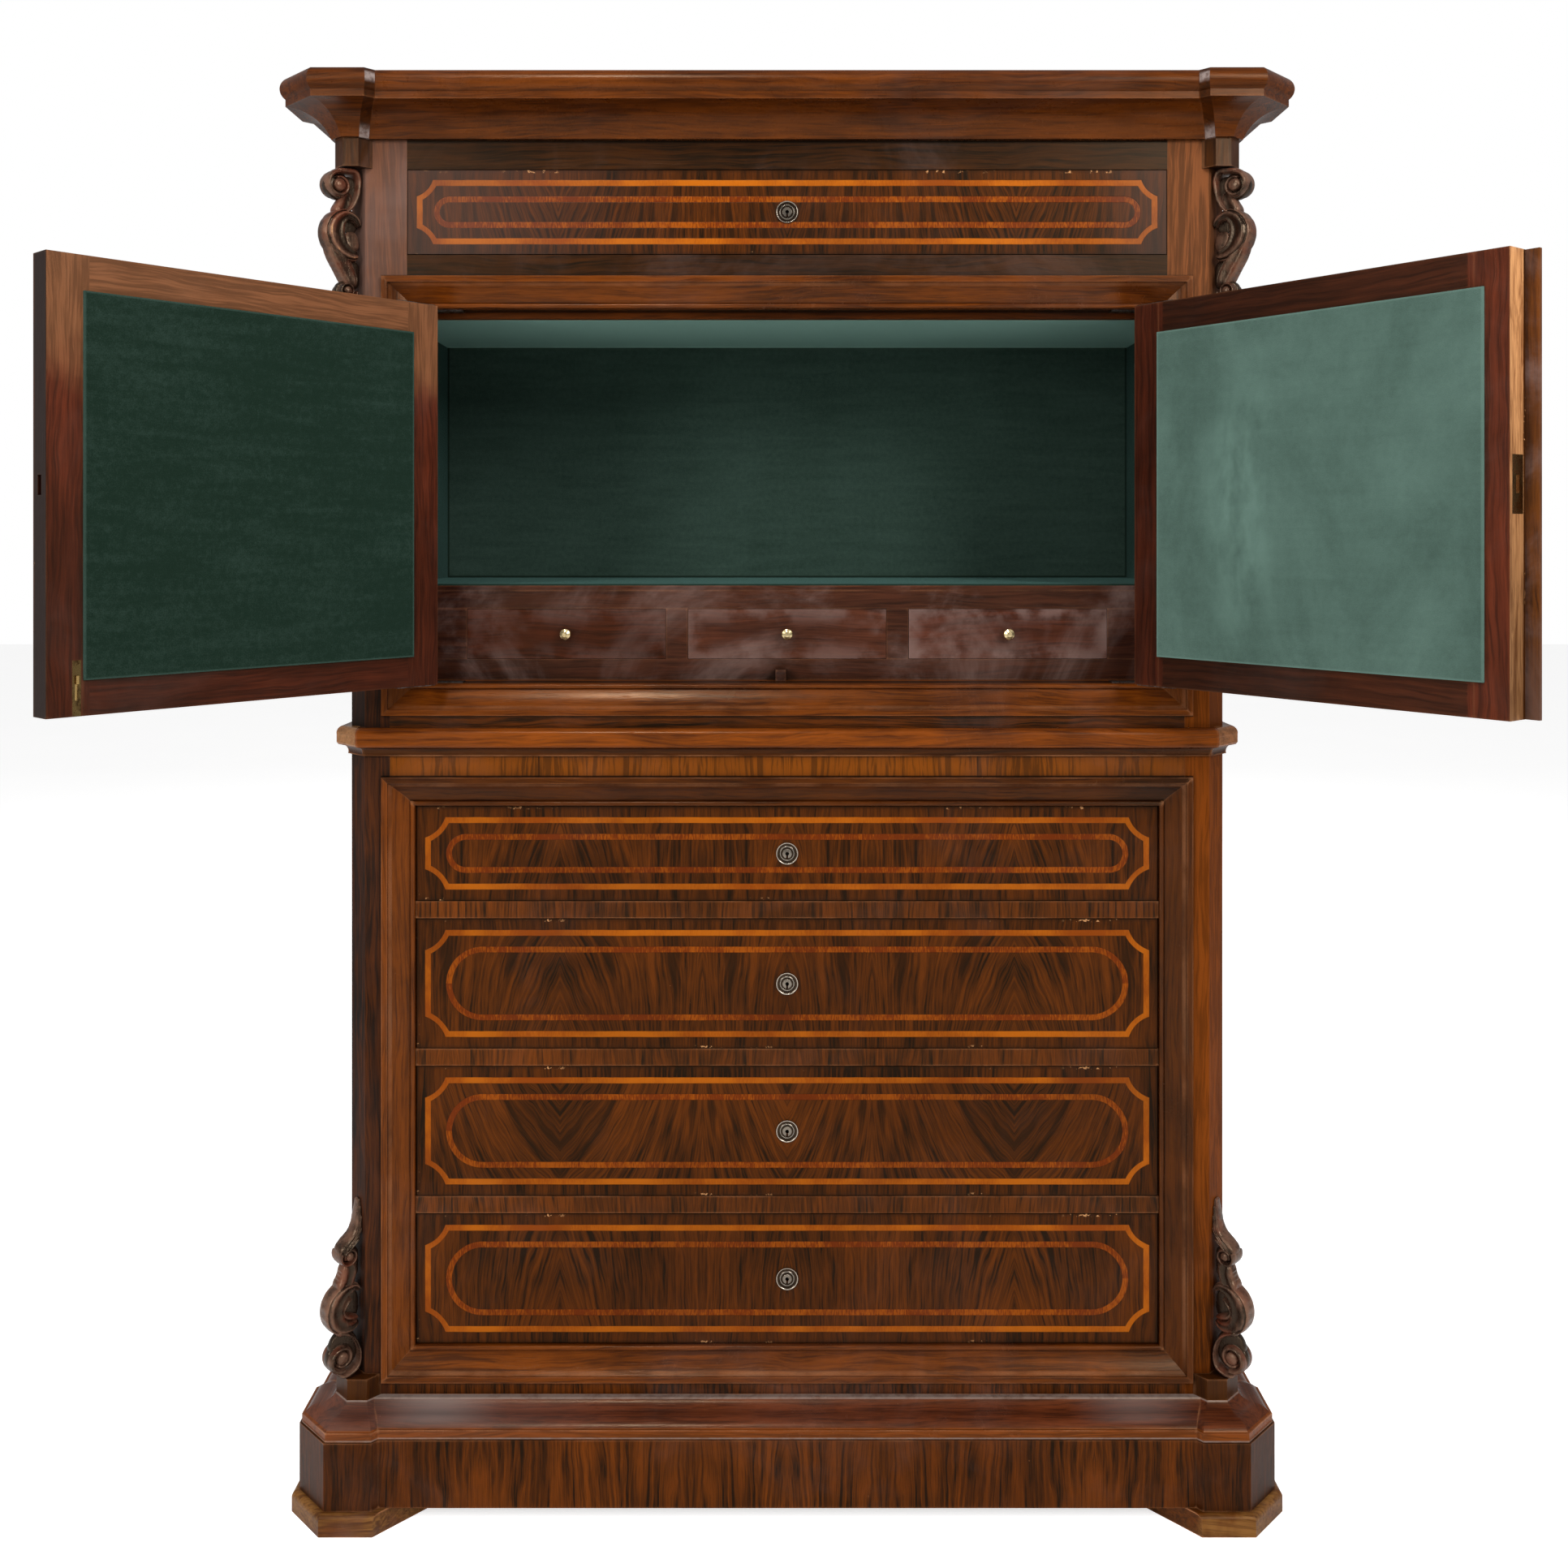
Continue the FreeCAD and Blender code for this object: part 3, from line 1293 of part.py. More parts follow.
def make_mouldings():
    node("cornice", [feature(f"cornice_{i}", s) for i, s in enumerate(make_cornice())])
    plinth, ogee = make_base()
    node("plinth", [feature(f"plinth_{i}", s) for i, s in enumerate(plinth)])
    node("base_moulding", [feature(f"base_ogee_{i}", s) for i, s in enumerate(ogee)])
    node("waist_moulding", [feature(f"waist_{i}", s) for i, s in enumerate(make_waist())])
    node("corner_blocks", [feature(f"block_{i}", s) for i, s in enumerate(make_corner_blocks())])
    for name, low, high in (("lower", lower_low, lower_top), ("upper", sill, head)):
        pieces = [feature(f"{name}_frame_{i}", s) for i, s in enumerate(make_frame(low, high))]
        node(f"{name}_frame_moulding", pieces)


node("corner_posts", [make_post("left", -1), make_post("right", 1)])
make_rails()
make_case()
make_runners()
make_feet()
make_mouldings()
make_scrolls()
make_drawers()
make_nest()
make_left_door()
make_right_door()
make_pivots()
doc.recompute()

for item in doc.Objects:
    if "Invalid" in item.State or "Error" in item.State:
        raise RuntimeError(f"{item.Label} failed: {item.State}")
for item in nodes:
    if item.Shape.isNull() or not item.Shape.isValid() or not item.Shape.Solids:
        raise RuntimeError(f"{item.Label} has no sound solid")

os.makedirs("parts", exist_ok=True)
for item in nodes:
    item.Shape.exportStep(f"parts/{item.Label}.step")
print(len(nodes), "nodes,", sum(len(item.Shape.Solids) for item in nodes), "solids")
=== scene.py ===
import math

import bpy
import numpy as np
from bpy.props import FloatProperty, FloatVectorProperty, PointerProperty
from bpy.types import Operator, Panel, PropertyGroup
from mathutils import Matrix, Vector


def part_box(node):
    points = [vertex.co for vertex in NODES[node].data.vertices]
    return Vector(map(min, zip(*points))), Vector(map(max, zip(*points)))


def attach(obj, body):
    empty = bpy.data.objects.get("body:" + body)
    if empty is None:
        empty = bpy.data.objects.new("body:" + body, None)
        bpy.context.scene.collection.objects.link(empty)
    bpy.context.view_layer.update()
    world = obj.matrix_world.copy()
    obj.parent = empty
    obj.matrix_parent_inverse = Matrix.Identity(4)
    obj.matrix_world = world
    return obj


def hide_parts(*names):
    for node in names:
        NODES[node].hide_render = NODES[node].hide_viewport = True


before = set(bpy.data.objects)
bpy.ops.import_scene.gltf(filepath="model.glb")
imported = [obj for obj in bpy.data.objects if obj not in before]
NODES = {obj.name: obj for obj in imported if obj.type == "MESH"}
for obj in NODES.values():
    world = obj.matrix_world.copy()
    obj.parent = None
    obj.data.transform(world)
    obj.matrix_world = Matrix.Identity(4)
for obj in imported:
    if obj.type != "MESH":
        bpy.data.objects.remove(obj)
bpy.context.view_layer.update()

bl_info = {
    "name": "Inlaid chiffonier",
    "version": (1, 0, 0),
    "blender": (4, 5, 0),
    "location": "View3D > Sidebar > Chiffonier",
    "description": "Dresses a chiffonier's solids with walnut, inlay, felt, carving and old brass",
    "category": "Object",
}

MM = 0.001

# Turns that lay a pattern's Z along an axis, and kinds of wood
ALONG = {"x": (0.0, math.pi / 2, 0.0), "y": (math.pi / 2, 0.0, 0.0), "z": (0.0, 0.0, 0.0)}
WALNUT, SOLID, FRAME, RAW = "walnut", "solid", "frame", "raw"

# How far each door stands open, as a turn about Z, and the side on which its outer face lies
LEFT_OPEN, RIGHT_OPEN = math.radians(131.0), math.radians(53.0)
DOOR_TURNS = {"door_left_leaf": LEFT_OPEN, "door_left_felt": LEFT_OPEN,
              "door_right_leaf": RIGHT_OPEN, "door_right_felt": RIGHT_OPEN,
              "door_astragal": RIGHT_OPEN}
OUTER_SIDE = {"door_left_leaf": -1.0, "door_right_leaf": 1.0, "door_astragal": 1.0}
DOOR_STILE = 0.040
FREE_EDGE, OUTER_SKIN = (0.0006, 0.0003), (0.0035, 0.0030)

# Where marks start and end on the case, in metres: heights, and widths from the middle
RAILS_LEVEL = 0.07
GOLD_STRIP = (0.80, 0.81, 0.90, 0.91)
GOLD_JOINTS = (-0.2905, 0.2230)
CUPBOARD_UP = (1.0, 1.01)
LINING_TOP, LINING_SIDE, LINING_FLOOR = (1.3985, 1.3995), (0.4765, 0.4785), (1.0760, 1.0775)
CANT_LINE, CANT_SLOPE = 0.5038, 0.41
BASE_FILLET, BASE_SHEEN = (0.1115, 0.1125), (0.1125, 0.1190)
BASE_LOW_LINE, BASE_HIGH_LINE = (0.1020, 0.1034), (0.1262, 0.1272)
WAIST_END, WAIST_FRONT, WAIST_UP = (0.5008, 0.5020), (0.0135, 0.0155), (0.8860, 0.8885)
COVE, TOP_FILLET_UP, TOP_FILLET_END = (1.598, 1.611), (1.642, 1.648), (1.653, 1.657)
BRACKET_HALF = 13.0 * MM

# Shade on a node's finish: the axis (side is x either way), where it starts, how far it runs, and
# the share of light before and after it
SHADED = {"plinth": (("side", 0.445, 0.03, 1.0, 0.62),),
          "waist_moulding": (("z", 0.8855, 0.0015, 0.30, 1.0),),
          "lower_frame_moulding": (("x", 0.36, 0.06, 1.0, 0.48),),
          "front_rails": (("z", 0.175, 0.010, 1.40, 1.0), ("z", 1.5905, 0.002, 1.0, 0.25),
                          ("z", 0.905, 0.002, 1.0, 1.4)),
          "drawer_rails": (("x", -0.44, 0.30, 1.5, 1.0),)}

# How the veneer's veins fan out on the frieze drawer and on drawers 1 to 4
FANS = (1.5, -2.4, -3.6, 3.8, -3.2)


def linear(r, g, b):
    """A colour given as it looks on screen, as the shader wants it."""
    return tuple((c / 255 / 12.92) if c <= 10 else ((c / 255 + 0.055) / 1.055) ** 2.4
                 for c in (r, g, b)) + (1.0,)


def colour(name, text, rgb):
    return FloatVectorProperty(name=name, description=text, subtype="COLOR", size=4,
                               min=0.0, max=1.0, default=linear(*rgb))


def length(name, text, metres):
    return FloatProperty(name=name, description=text, default=metres, unit="LENGTH",
                         subtype="DISTANCE")


# Properties

class ChiffonierWood(PropertyGroup):
    walnut_dark: colour("Walnut dark", "Dark veins of the veneer", (20, 7, 1))
    walnut_light: colour("Walnut light", "Ground of the veneer", (86, 39, 4))
    solid_dark: colour("Solid wood dark", "Dark grain of the mouldings", (72, 32, 9))
    solid_light: colour("Solid wood light", "Ground of the mouldings", (122, 59, 12))
    frame_dark: colour("Inner frame dark", "Dark grain of the red frames", (58, 23, 14))
    frame_light: colour("Inner frame light", "Ground of the red frames", (98, 42, 24))
    band_outer: colour("Outer band", "Maple band of the inlay", (196, 103, 12))
    band_inner: colour("Inner band", "Redder band of the inlay", (130, 50, 4))
    raw_dark: colour("Bare wood dark", "Grain of unpolished wood", (104, 62, 32))
    raw_light: colour("Bare wood light", "Ground of unpolished wood", (176, 126, 82))
    # The carving's dark also serves as painted shade in its hollows, and its light as painted
    # highlight on its high places
    carved_dark: colour("Carving dark", "Hollows of the carving", (24, 14, 10))
    carved_light: colour("Carving light", "Rubbed high places of the carving", (108, 76, 60))
    # Dull bloom, and also the colour of painted sheen and painted highlights on several parts
    dust: colour("Dust", "Dull bloom on old polish", (120, 98, 92))
    solid_worn: colour("Worn stiles", "Stiles beside the frieze drawer", (124, 76, 46))
    rubbed: colour("Rubbed edge", "Arrises worn through the polish", (168, 112, 74))


class ChiffonierInlay(PropertyGroup):
    outer_in: length("Outer band in", "From the front's ends to the outer band", 0.0098)
    outer_down: length("Outer band down", "From the front's long edges to the outer band", 0.0128)
    band: length("Band width", "Width of a band", 0.0070)
    notch: length("Corner hollow", "Radius of the hollow corners", 0.0240)
    inner_in: length("Inner band in", "From the front's ends to the inner band", 0.0345)
    inner_down: length("Inner band down", "From the front's long edges to the inner band", 0.0325)
    frieze_in: length("Frieze band in", "From the frieze front's ends to its outer band", 0.0105)
    frieze_down: length("Frieze band down", "From the frieze front's long edges to the band",
                        0.0114)
    frieze_notch: length("Frieze hollow", "Radius of the frieze front's hollow corners", 0.0190)
    frieze_inner: length("Frieze inner band", "From the frieze front's edges to its strip", 0.0305)


class ChiffonierCloth(PropertyGroup):
    # The felt's dark and light, also used as painted shade and painted light on the lining and the
    # doors
    felt_dark: colour("Felt dark", "Felt looked at against the nap", (18, 36, 27))
    felt_light: colour("Felt light", "Felt looked at along the nap", (96, 122, 112))


class ChiffonierMetal(PropertyGroup):
    brass: colour("Brass", "Rubbed brass", (214, 176, 112))
    tarnish: colour("Tarnish", "Dark film in the hollows", (60, 42, 24))
    pewter: colour("Pewter", "Escutcheon plates", (138, 128, 116))
    knob: colour("Knob brass", "Brass of the small knobs", (236, 212, 160))


class ChiffonierSettings(PropertyGroup):
    wood: PointerProperty(type=ChiffonierWood)
    inlay: PointerProperty(type=ChiffonierInlay)
    cloth: PointerProperty(type=ChiffonierCloth)
    metal: PointerProperty(type=ChiffonierMetal)


def settings():
    return bpy.context.scene.chiffonier


def pair(kind):
    """The dark and light of one kind of wood."""
    w = settings().wood
    return tuple(getattr(w, kind + "_dark")), tuple(getattr(w, kind + "_light"))


# Sizes read from the solids

def span(node):
    """Lowest and highest corner of a node as arrays."""
    low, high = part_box(node)
    return np.array(low), np.array(high)


def vertices(node):
    """A node's points as rows."""
    points = np.empty(len(NODES[node].data.vertices) * 3)
    NODES[node].data.vertices.foreach_get("co", points)
    return points.reshape(-1, 3)


# Shader building

class Wire:
    """A node's output. Sums with it, and abs, add Math nodes to its graph."""

    def __init__(self, graph, socket):
        self.graph, self.socket = graph, socket

    def __add__(self, other):
        return self.graph.math("ADD", self, other)

    def __sub__(self, other):
        return self.graph.math("SUBTRACT", self, other)

    def __rsub__(self, other):
        return self.graph.math("SUBTRACT", other, self)

    def __mul__(self, other):
        return self.graph.math("MULTIPLY", self, other)

    def __truediv__(self, other):
        return self.graph.math("DIVIDE", self, other)

    def __abs__(self):
        return self.graph.math("ABSOLUTE", self)


class Graph:
    """A small hand for wiring nodes: every call adds a node or two and returns what comes out."""

    def __init__(self, tree):
        self.tree = tree

    def add(self, kind, **values):
        node = self.tree.nodes.new(kind)
        for key, value in values.items():
            setattr(node, key, value)
        return node

    def put(self, socket, value):
        if isinstance(value, Wire):
            self.tree.links.new(value.socket, socket)
        elif value is not None:
            socket.default_value = value

    def fill(self, sockets, **values):
        """Gives sockets their values by name, with _ for a space."""
        for name, value in values.items():
            self.put(sockets[name.replace("_", " ")], value)

    def out(self, node, key=0):
        return Wire(self, node.outputs[key])

    def math(self, operation, a, b=None, clamp=False):
        node = self.add("ShaderNodeMath", operation=operation, use_clamp=clamp)
        for socket, value in zip(node.inputs, (a, b)):
            self.put(socket, value)
        return self.out(node)

    def least(self, *values):
        """The least of several values, found two at a time."""
        found, *rest = values
        for value in rest:
            found = self.math("MINIMUM", found, value)
        return found

    def most(self, a, b):
        return self.math("MAXIMUM", a, b)

    def vector(self, operation, a, b=None, scale=None):
        node = self.add("ShaderNodeVectorMath", operation=operation)
        self.put(node.inputs[0], a)
        self.put(node.inputs[1], b)
        if scale is not None:
            self.put(node.inputs["Scale"], scale)
        return self.out(node, "Value" if operation == "LENGTH" else "Vector")

    def scaled(self, vector, share):
        return self.vector("SCALE", vector[:3] if isinstance(vector, tuple) else vector,
                           scale=share)

    def times(self, vector, factors):
        return self.vector("MULTIPLY", vector, factors)

    def far(self, a, b):
        """The length of the flat vector (a, b)."""
        return self.vector("LENGTH", self.join(a, b, 0.0))

    def noise(self, vector, scale, detail=4.0, roughness=0.55, distortion=0.0):
        node = self.add("ShaderNodeTexNoise")
        self.fill(node.inputs, Vector=vector, Scale=scale, Detail=detail, Roughness=roughness,
                  Distortion=distortion)
        return self.out(node, "Fac")

    def ramp(self, value, low, high, to_low=0.0, to_high=1.0, smooth=True):
        node = self.add("ShaderNodeMapRange", clamp=True)
        node.interpolation_type = "SMOOTHSTEP" if smooth else "LINEAR"
        self.fill(node.inputs, Value=value, From_Min=low, From_Max=high, To_Min=to_low,
                  To_Max=to_high)
        return self.out(node, "Result")

    def fall(self, value, low, high):
        """From 1 at low to 0 at high."""
        return self.ramp(value, low, high, 1.0, 0.0)

    def clouds(self, vector, noise, low, high, to_low=0.0, to_high=1.0):
        """A ramp over noise, which is given by scale, detail and roughness."""
        return self.ramp(self.noise(vector, *noise), low, high, to_low, to_high)

    def mix(self, share, a, b, blend="MIX"):
        node = self.add("ShaderNodeMix", data_type="RGBA", blend_type=blend)
        node.clamp_factor = True
        for index, value in ((0, share), (6, a), (7, b)):
            self.put(node.inputs[index], value)
        return self.out(node, 2)

    def stain(self, share, base, tint):
        """Multiplies a share of the base by a tint."""
        return self.mix(share, base, self.mix(1.0, base, tint, "MULTIPLY"))

    def pick(self, mask, a, b):
        """One of two vectors: a where the mask is 0, b where it is 1."""
        node = self.add("ShaderNodeMix", data_type="VECTOR")
        for index, value in ((0, mask), (4, a), (5, b)):
            self.put(node.inputs[index], value)
        return self.out(node, 1)

    def split(self, vector):
        node = self.add("ShaderNodeSeparateXYZ")
        self.put(node.inputs[0], vector)
        return [self.out(node, index) for index in range(3)]

    def join(self, x, y, z):
        node = self.add("ShaderNodeCombineXYZ")
        for socket, value in zip(node.inputs, (x, y, z)):
            self.put(socket, value)
        return self.out(node)

    def mapped(self, vector, scale=(1, 1, 1), turn=(0, 0, 0), move=(0, 0, 0)):
        node = self.add("ShaderNodeMapping")
        self.fill(node.inputs, Vector=vector, Location=move, Rotation=turn, Scale=scale)
        return self.out(node)

    def occlusion(self, distance, **values):
        node = self.add("ShaderNodeAmbientOcclusion", samples=4, **values)
        node.inputs["Distance"].default_value = distance
        return self.out(node, "AO")

    def group(self, name, **values):
        """Places a shared shader group, which is made the first time; returns its outputs."""
        if name not in GROUPS:
            GROUPS[name] = GROUP_MAKERS[name]()
        node = self.add("ShaderNodeGroup", node_tree=GROUPS[name])
        self.fill(node.inputs, **values)
        return {socket.name: Wire(self, socket) for socket in node.outputs}


FLOAT, VECTOR, COLOR = "NodeSocketFloat", "NodeSocketVector", "NodeSocketColor"
GROUPS = {}


def new_group(name, inputs, outputs):
    """An empty shader group: its inputs are given as a default by name, a vector by None and a
    colour by COLOR. Returns the tree, its graph, its inputs' wires and its outputs' sockets."""
    tree = bpy.data.node_groups.new(name, "ShaderNodeTree")
    for label, default in {"Vector": None, **inputs}.items():
        kind = FLOAT if isinstance(default, float) else default or VECTOR
        socket = tree.interface.new_socket(label, in_out="INPUT", socket_type=kind)
        if kind == FLOAT:
            socket.default_value = default
    for label in outputs:
        tree.interface.new_socket(label, in_out="OUTPUT",
                                  socket_type=COLOR if label == "Color" else FLOAT)
    graph = Graph(tree)
    source = graph.add("NodeGroupInput").outputs
    sink = graph.add("NodeGroupOutput").inputs
    return tree, graph, {socket.name: Wire(graph, socket) for socket in source}, sink


def grain_group():
    """Wood grain along Z. The leaves of veneer are mirrored about X = Leaf Start and every Leaf
    from there; X is stretched with Z, so that the veins fan out. All streaks are long, bent
    noise."""
    tree, g, i, o = new_group(
        "wood_grain", {"Dark": COLOR, "Light": COLOR, "Figure": 0.5, "Leaf": 0.168,
                       "Leaf Start": 0.1, "Fan": 0.0, "Seed": 0.0}, ("Color", "Height", "Tone"))
    x, y, z = g.split(i["Vector"])
    leaf = g.math("PINGPONG", abs(x) - i["Leaf Start"], i["Leaf"])
    shift = i["Seed"] * 0.37
    depth = y + shift
    moved = g.join(leaf, depth, z * 0.35 + shift)
    bend = g.noise(moved, 9.0, 3.0, 0.5) - 0.5
    ripple = g.noise(moved, 60.0, 2.0, 0.5) - 0.5
    across = (i["Fan"] * z * leaf + abs(i["Fan"]) * z * 0.03 + leaf
              + bend * 0.050 + ripple * 0.0050)

    def streaks(run, *noise):
        return g.noise(g.join(across, depth, z * run + shift), *noise)

    wide = streaks(0.07, 62.0, 3.0, 0.6)
    veins = streaks(0.045, 190.0, 3.0, 0.6)
    fine = streaks(0.04, 420.0, 3.0, 0.65)
    broad = streaks(0.5, 13.0, 3.0, 0.55)
    tone = g.math("ADD", (veins - 0.5) * 2.3 + (fine - 0.5) * 2.3 + (broad - 0.5) * 1.6, 0.55,
                  clamp=True)
    vein = g.ramp(wide * 0.62 + veins * 0.38, 0.53, 0.61) * i["Figure"]
    pores = g.ramp(fine, 0.58, 0.70) * 0.45
    ground = g.mix(tone, i["Dark"], i["Light"])
    veined = g.mix(vein, ground, g.mix(0.9, ground, i["Dark"]))
    g.fill(o, Color=g.mix(pores, veined, i["Dark"]), Height=tone * 0.3 - pores, Tone=tone)
    return tree


def wear_and_crevice_shade_group():
    """Age over a finish: soft dark grime and dull bloom in clouds, darkening in corners and joints
    that is painted shade as well as grime, and small sharp chips."""
    tree, g, i, o = new_group(
        "old_wear", {"Color": COLOR, "Grime": 0.4, "Bloom": 0.1, "Chips": 0.2, "Bare": COLOR,
                     "Dust": COLOR}, ("Color", "Rough", "Height"))
    place = i["Vector"]
    cloud = g.noise(place, 6.0, 5.0, 0.62, 0.5)
    other = g.noise(g.vector("ADD", place, (3.1, 1.7, 0.4)), 4.5, 6.0, 0.66, 0.8)
    fine = g.noise(place, 85.0, 5.0, 0.65)
    stained = g.stain(g.ramp(cloud, 0.40, 0.74) * i["Grime"], i["Color"], (0.34, 0.30, 0.27, 1.0))
    # Painted shade as well as grime: darker where occlusion finds corners and joints
    crevice_grime_and_shade = g.ramp(g.occlusion(0.016), 0.95, 0.35) * g.ramp(cloud, 0.25, 0.55, 0.55, 0.85)
    stained = g.stain(crevice_grime_and_shade, stained, (0.16, 0.13, 0.12, 1.0))
    bloom = g.ramp(other, 0.46, 0.80) * (fine * 0.7 + 0.5) * i["Bloom"]
    level = 0.83 - i["Chips"] * 0.11
    chip = (g.ramp(g.noise(place, 190.0, 2.0, 0.55), level, level + 0.02)
            * g.clouds(place, (17.0, 3.0, 0.6), 0.54, 0.62))
    g.fill(o, Color=g.mix(chip, g.mix(bloom, stained, i["Dust"]), i["Bare"]),
           Rough=cloud * 0.16 + fine * 0.12 + bloom * 0.35 + chip * 0.4,
           Height=fine * 0.12 - chip)
    return tree


def band_group():
    """Two inlaid bands on a front centred on the origin: a rectangle whose corners are hollowed
    where a mean of |x| + |z| and the length of (x, z) is small, and inside it a round-ended
    strip. Each band is where a distance lies in a span."""
    tree, g, i, o = new_group(
        "inlaid_bands", {"Half Wide": 0.4, "Half High": 0.06, "Outer In": 0.01,
                         "Outer Down": 0.013, "Band": 0.006, "Notch": 0.024, "Inner In": 0.035,
                         "Inner Down": 0.033}, ("Outer", "Inner", "Field", "Edge", "Seam"))
    band, soft = i["Band"], 0.0003
    wobble = (g.noise(i["Vector"], 30.0, 2.0) - 0.5) * 0.0008
    x, _, z = g.split(i["Vector"])
    ax, az = abs(x) + wobble, abs(z) + wobble
    in_x = i["Half Wide"] - i["Outer In"] - ax
    in_z = i["Half High"] - i["Outer Down"] - az
    corner = g.far(in_x, in_z) * 0.66 + (in_x + in_z) * 0.34
    deep = g.least(in_x, in_z, corner - i["Notch"])
    reach = i["Half High"] - i["Inner Down"]
    run = i["Half Wide"] - i["Inner In"] - reach
    round_in = reach - g.far(g.most(ax - run, 0.0), az)

    def laid(value):
        return g.ramp(value, -soft, soft) - g.ramp(value, band - soft, band + soft)

    seams = [abs(distance - edge) for distance in (deep, round_in) for edge in (0.0, band)]
    rim = g.least(i["Half Wide"] - ax, i["Half High"] - az)
    g.fill(o, Outer=laid(deep), Inner=laid(round_in), Field=g.ramp(deep, 0.0, 0.0004),
           Seam=g.fall(g.least(*seams), 0.0, 0.0007), Edge=g.fall(rim, 0.0, 0.0045))
    return tree


def edge_group():
    """Arrises rubbed pale: where short rays into the wood soon leave it, broken up by noise."""
    tree, g, i, o = new_group("rubbed_edge", {"Amount": 0.5}, ("Mask",))
    near = g.ramp(g.occlusion(0.0035, inside=True, only_local=True), 0.78, 0.50)
    patches = g.clouds(i["Vector"], (14.0, 4.0, 0.6), 0.35, 0.62, 0.15, 1.0)
    g.fill(o, Mask=g.math("MULTIPLY", near * patches, i["Amount"], clamp=True))
    return tree


def felt_group():
    """Felt: short fibres, a nap brushed in patches, and a few pale rubs; Sheen lifts it all
    towards Light, a painted sheen.
    """
    tree, g, i, o = new_group(
        "napped_felt", {"Dark": COLOR, "Light": COLOR, "Brush": 0.5, "Sheen": 0.2},
        ("Color", "Height"))
    brushed = g.noise(g.mapped(i["Vector"], (1.0, 1.0, 0.7)), 6.0, 5.0, 0.6, 0.6)
    streaks = g.noise(g.mapped(i["Vector"], (0.35, 0.35, 3.0)), 24.0, 3.0, 0.6, 0.3)
    fibre = g.noise(i["Vector"], 900.0, 3.0, 0.7)
    mottle = g.noise(i["Vector"], 160.0, 3.0, 0.6)
    nap = (brushed - 0.5) * i["Brush"] + (streaks - 0.5) * 0.18 + i["Sheen"]
    nap = g.math("ADD", nap + (mottle - 0.5) * 0.16, (fibre - 0.5) * 0.30, clamp=True)
    g.fill(o, Color=g.mix(nap, i["Dark"], i["Light"]), Height=fibre * 0.7 + mottle * 0.3)
    return tree


def metal_group():
    """Old metal: tarnish in clouds, rubbed bright in places, with fine scratches."""
    tree, g, i, o = new_group("old_metal", {"Bright": COLOR, "Tarnish": COLOR, "Age": 0.5},
                              ("Color", "Rough", "Height"))
    cloud = g.noise(i["Vector"], 110.0, 5.0, 0.65, 0.3)
    scratch = g.noise(g.mapped(i["Vector"], (1.0, 1.0, 6.0), (0.5, 0.2, 0.9)), 500.0, 2.0, 0.6)
    dull = g.ramp(cloud + (i["Age"] - 0.5) * 0.5, 0.40, 0.66)
    g.fill(o, Color=g.mix(dull, i["Bright"], i["Tarnish"]), Rough=dull * 0.30 + 0.24,
           Height=cloud * 0.5 + scratch * 0.3)
    return tree


GROUP_MAKERS = {"grain": grain_group, "wear": wear_and_crevice_shade_group, "bands": band_group,
                "felt": felt_group, "metal": metal_group, "edge": edge_group}


def new_material(name, roughness=0.4, metallic=0.0, coat=0.0, sheen=0.0, specular=0.25):
    """A material: returns it, its graph, the shader and the object's coordinates."""
    made = bpy.data.materials.new(name)
    made.use_nodes = True
    made.node_tree.nodes.clear()
    g = Graph(made.node_tree)
    shader = g.add("ShaderNodeBsdfPrincipled")
    output = g.add("ShaderNodeOutputMaterial")
    g.put(output.inputs["Surface"], g.out(shader, "BSDF"))
    g.fill(shader.inputs, Roughness=roughness, Metallic=metallic, Coat_Weight=coat,
           Coat_Roughness=0.12, Sheen_Weight=sheen, Sheen_Roughness=0.5,
           Specular_IOR_Level=specular)
    if metallic == 0.0:
        shader.inputs["Specular Tint"].default_value = (1.0, 0.70, 0.45, 1.0)
    return made, g, shader, g.out(g.add("ShaderNodeTexCoord"), "Object")


def bump(g, shader, height, distance, strength=1.0):
    node = g.add("ShaderNodeBump")
    g.fill(node.inputs, Strength=strength, Distance=distance, Height=height)
    g.put(shader.inputs["Normal"], g.out(node, "Normal"))


def centred(g, place, node):
    """Coordinates from a node's middle, and its half size."""
    low, high = span(node)
    half = tuple(float(c) for c in (high - low) / 2)
    return g.mapped(place, move=tuple(-(low + high) / 2)), half


def leaf_place(g, place, node):
    """Coordinates of an open door's own frame, X from its hinge side, centred, and its half
    size."""
    turn = DOOR_TURNS[node]
    way = np.array([(math.cos(turn), math.sin(turn), 0), (-math.sin(turn), math.cos(turn), 0),
                    (0, 0, 1)])
    flat = vertices(node) @ way
    low, high = flat.min(0), flat.max(0)
    turned_place = g.mapped(place, turn=(0.0, 0.0, turn))
    return (g.mapped(turned_place, move=tuple(-(low + high) / 2)),
            tuple(float(c) for c in (high - low) / 2))


# Woods

def lay(g, place, along, node):
    """Coordinates whose Z runs with the grain. "leaf" lays it along the stiles and rails of an
    open door, "frame" turns it at the mitres of an upright frame, "wrap" where a moulding goes
    round the sides, and "rails" lays the upper rails level."""
    if along in ALONG:
        return g.mapped(place, turn=ALONG[along])
    if along == "leaf":
        local, half = leaf_place(g, place, node)
        upright = g.math("GREATER_THAN", abs(g.split(local)[0]), half[0] - DOOR_STILE)
        return g.pick(upright, g.mapped(local, turn=ALONG["x"]), local)
    level = g.mapped(place, turn=ALONG["x"])
    local, half = centred(g, place, node)
    x, y, z = g.split(local)
    if along == "rails":
        return g.pick(g.math("GREATER_THAN", z, RAILS_LEVEL), place, level)
    in_x = half[0] - abs(x)
    if along == "frame":
        return g.pick(g.math("LESS_THAN", in_x, half[2] - abs(z)), level, place)
    beside = g.math("LESS_THAN", in_x, y + half[1])
    return g.pick(beside, level, g.mapped(place, turn=ALONG["y"]))


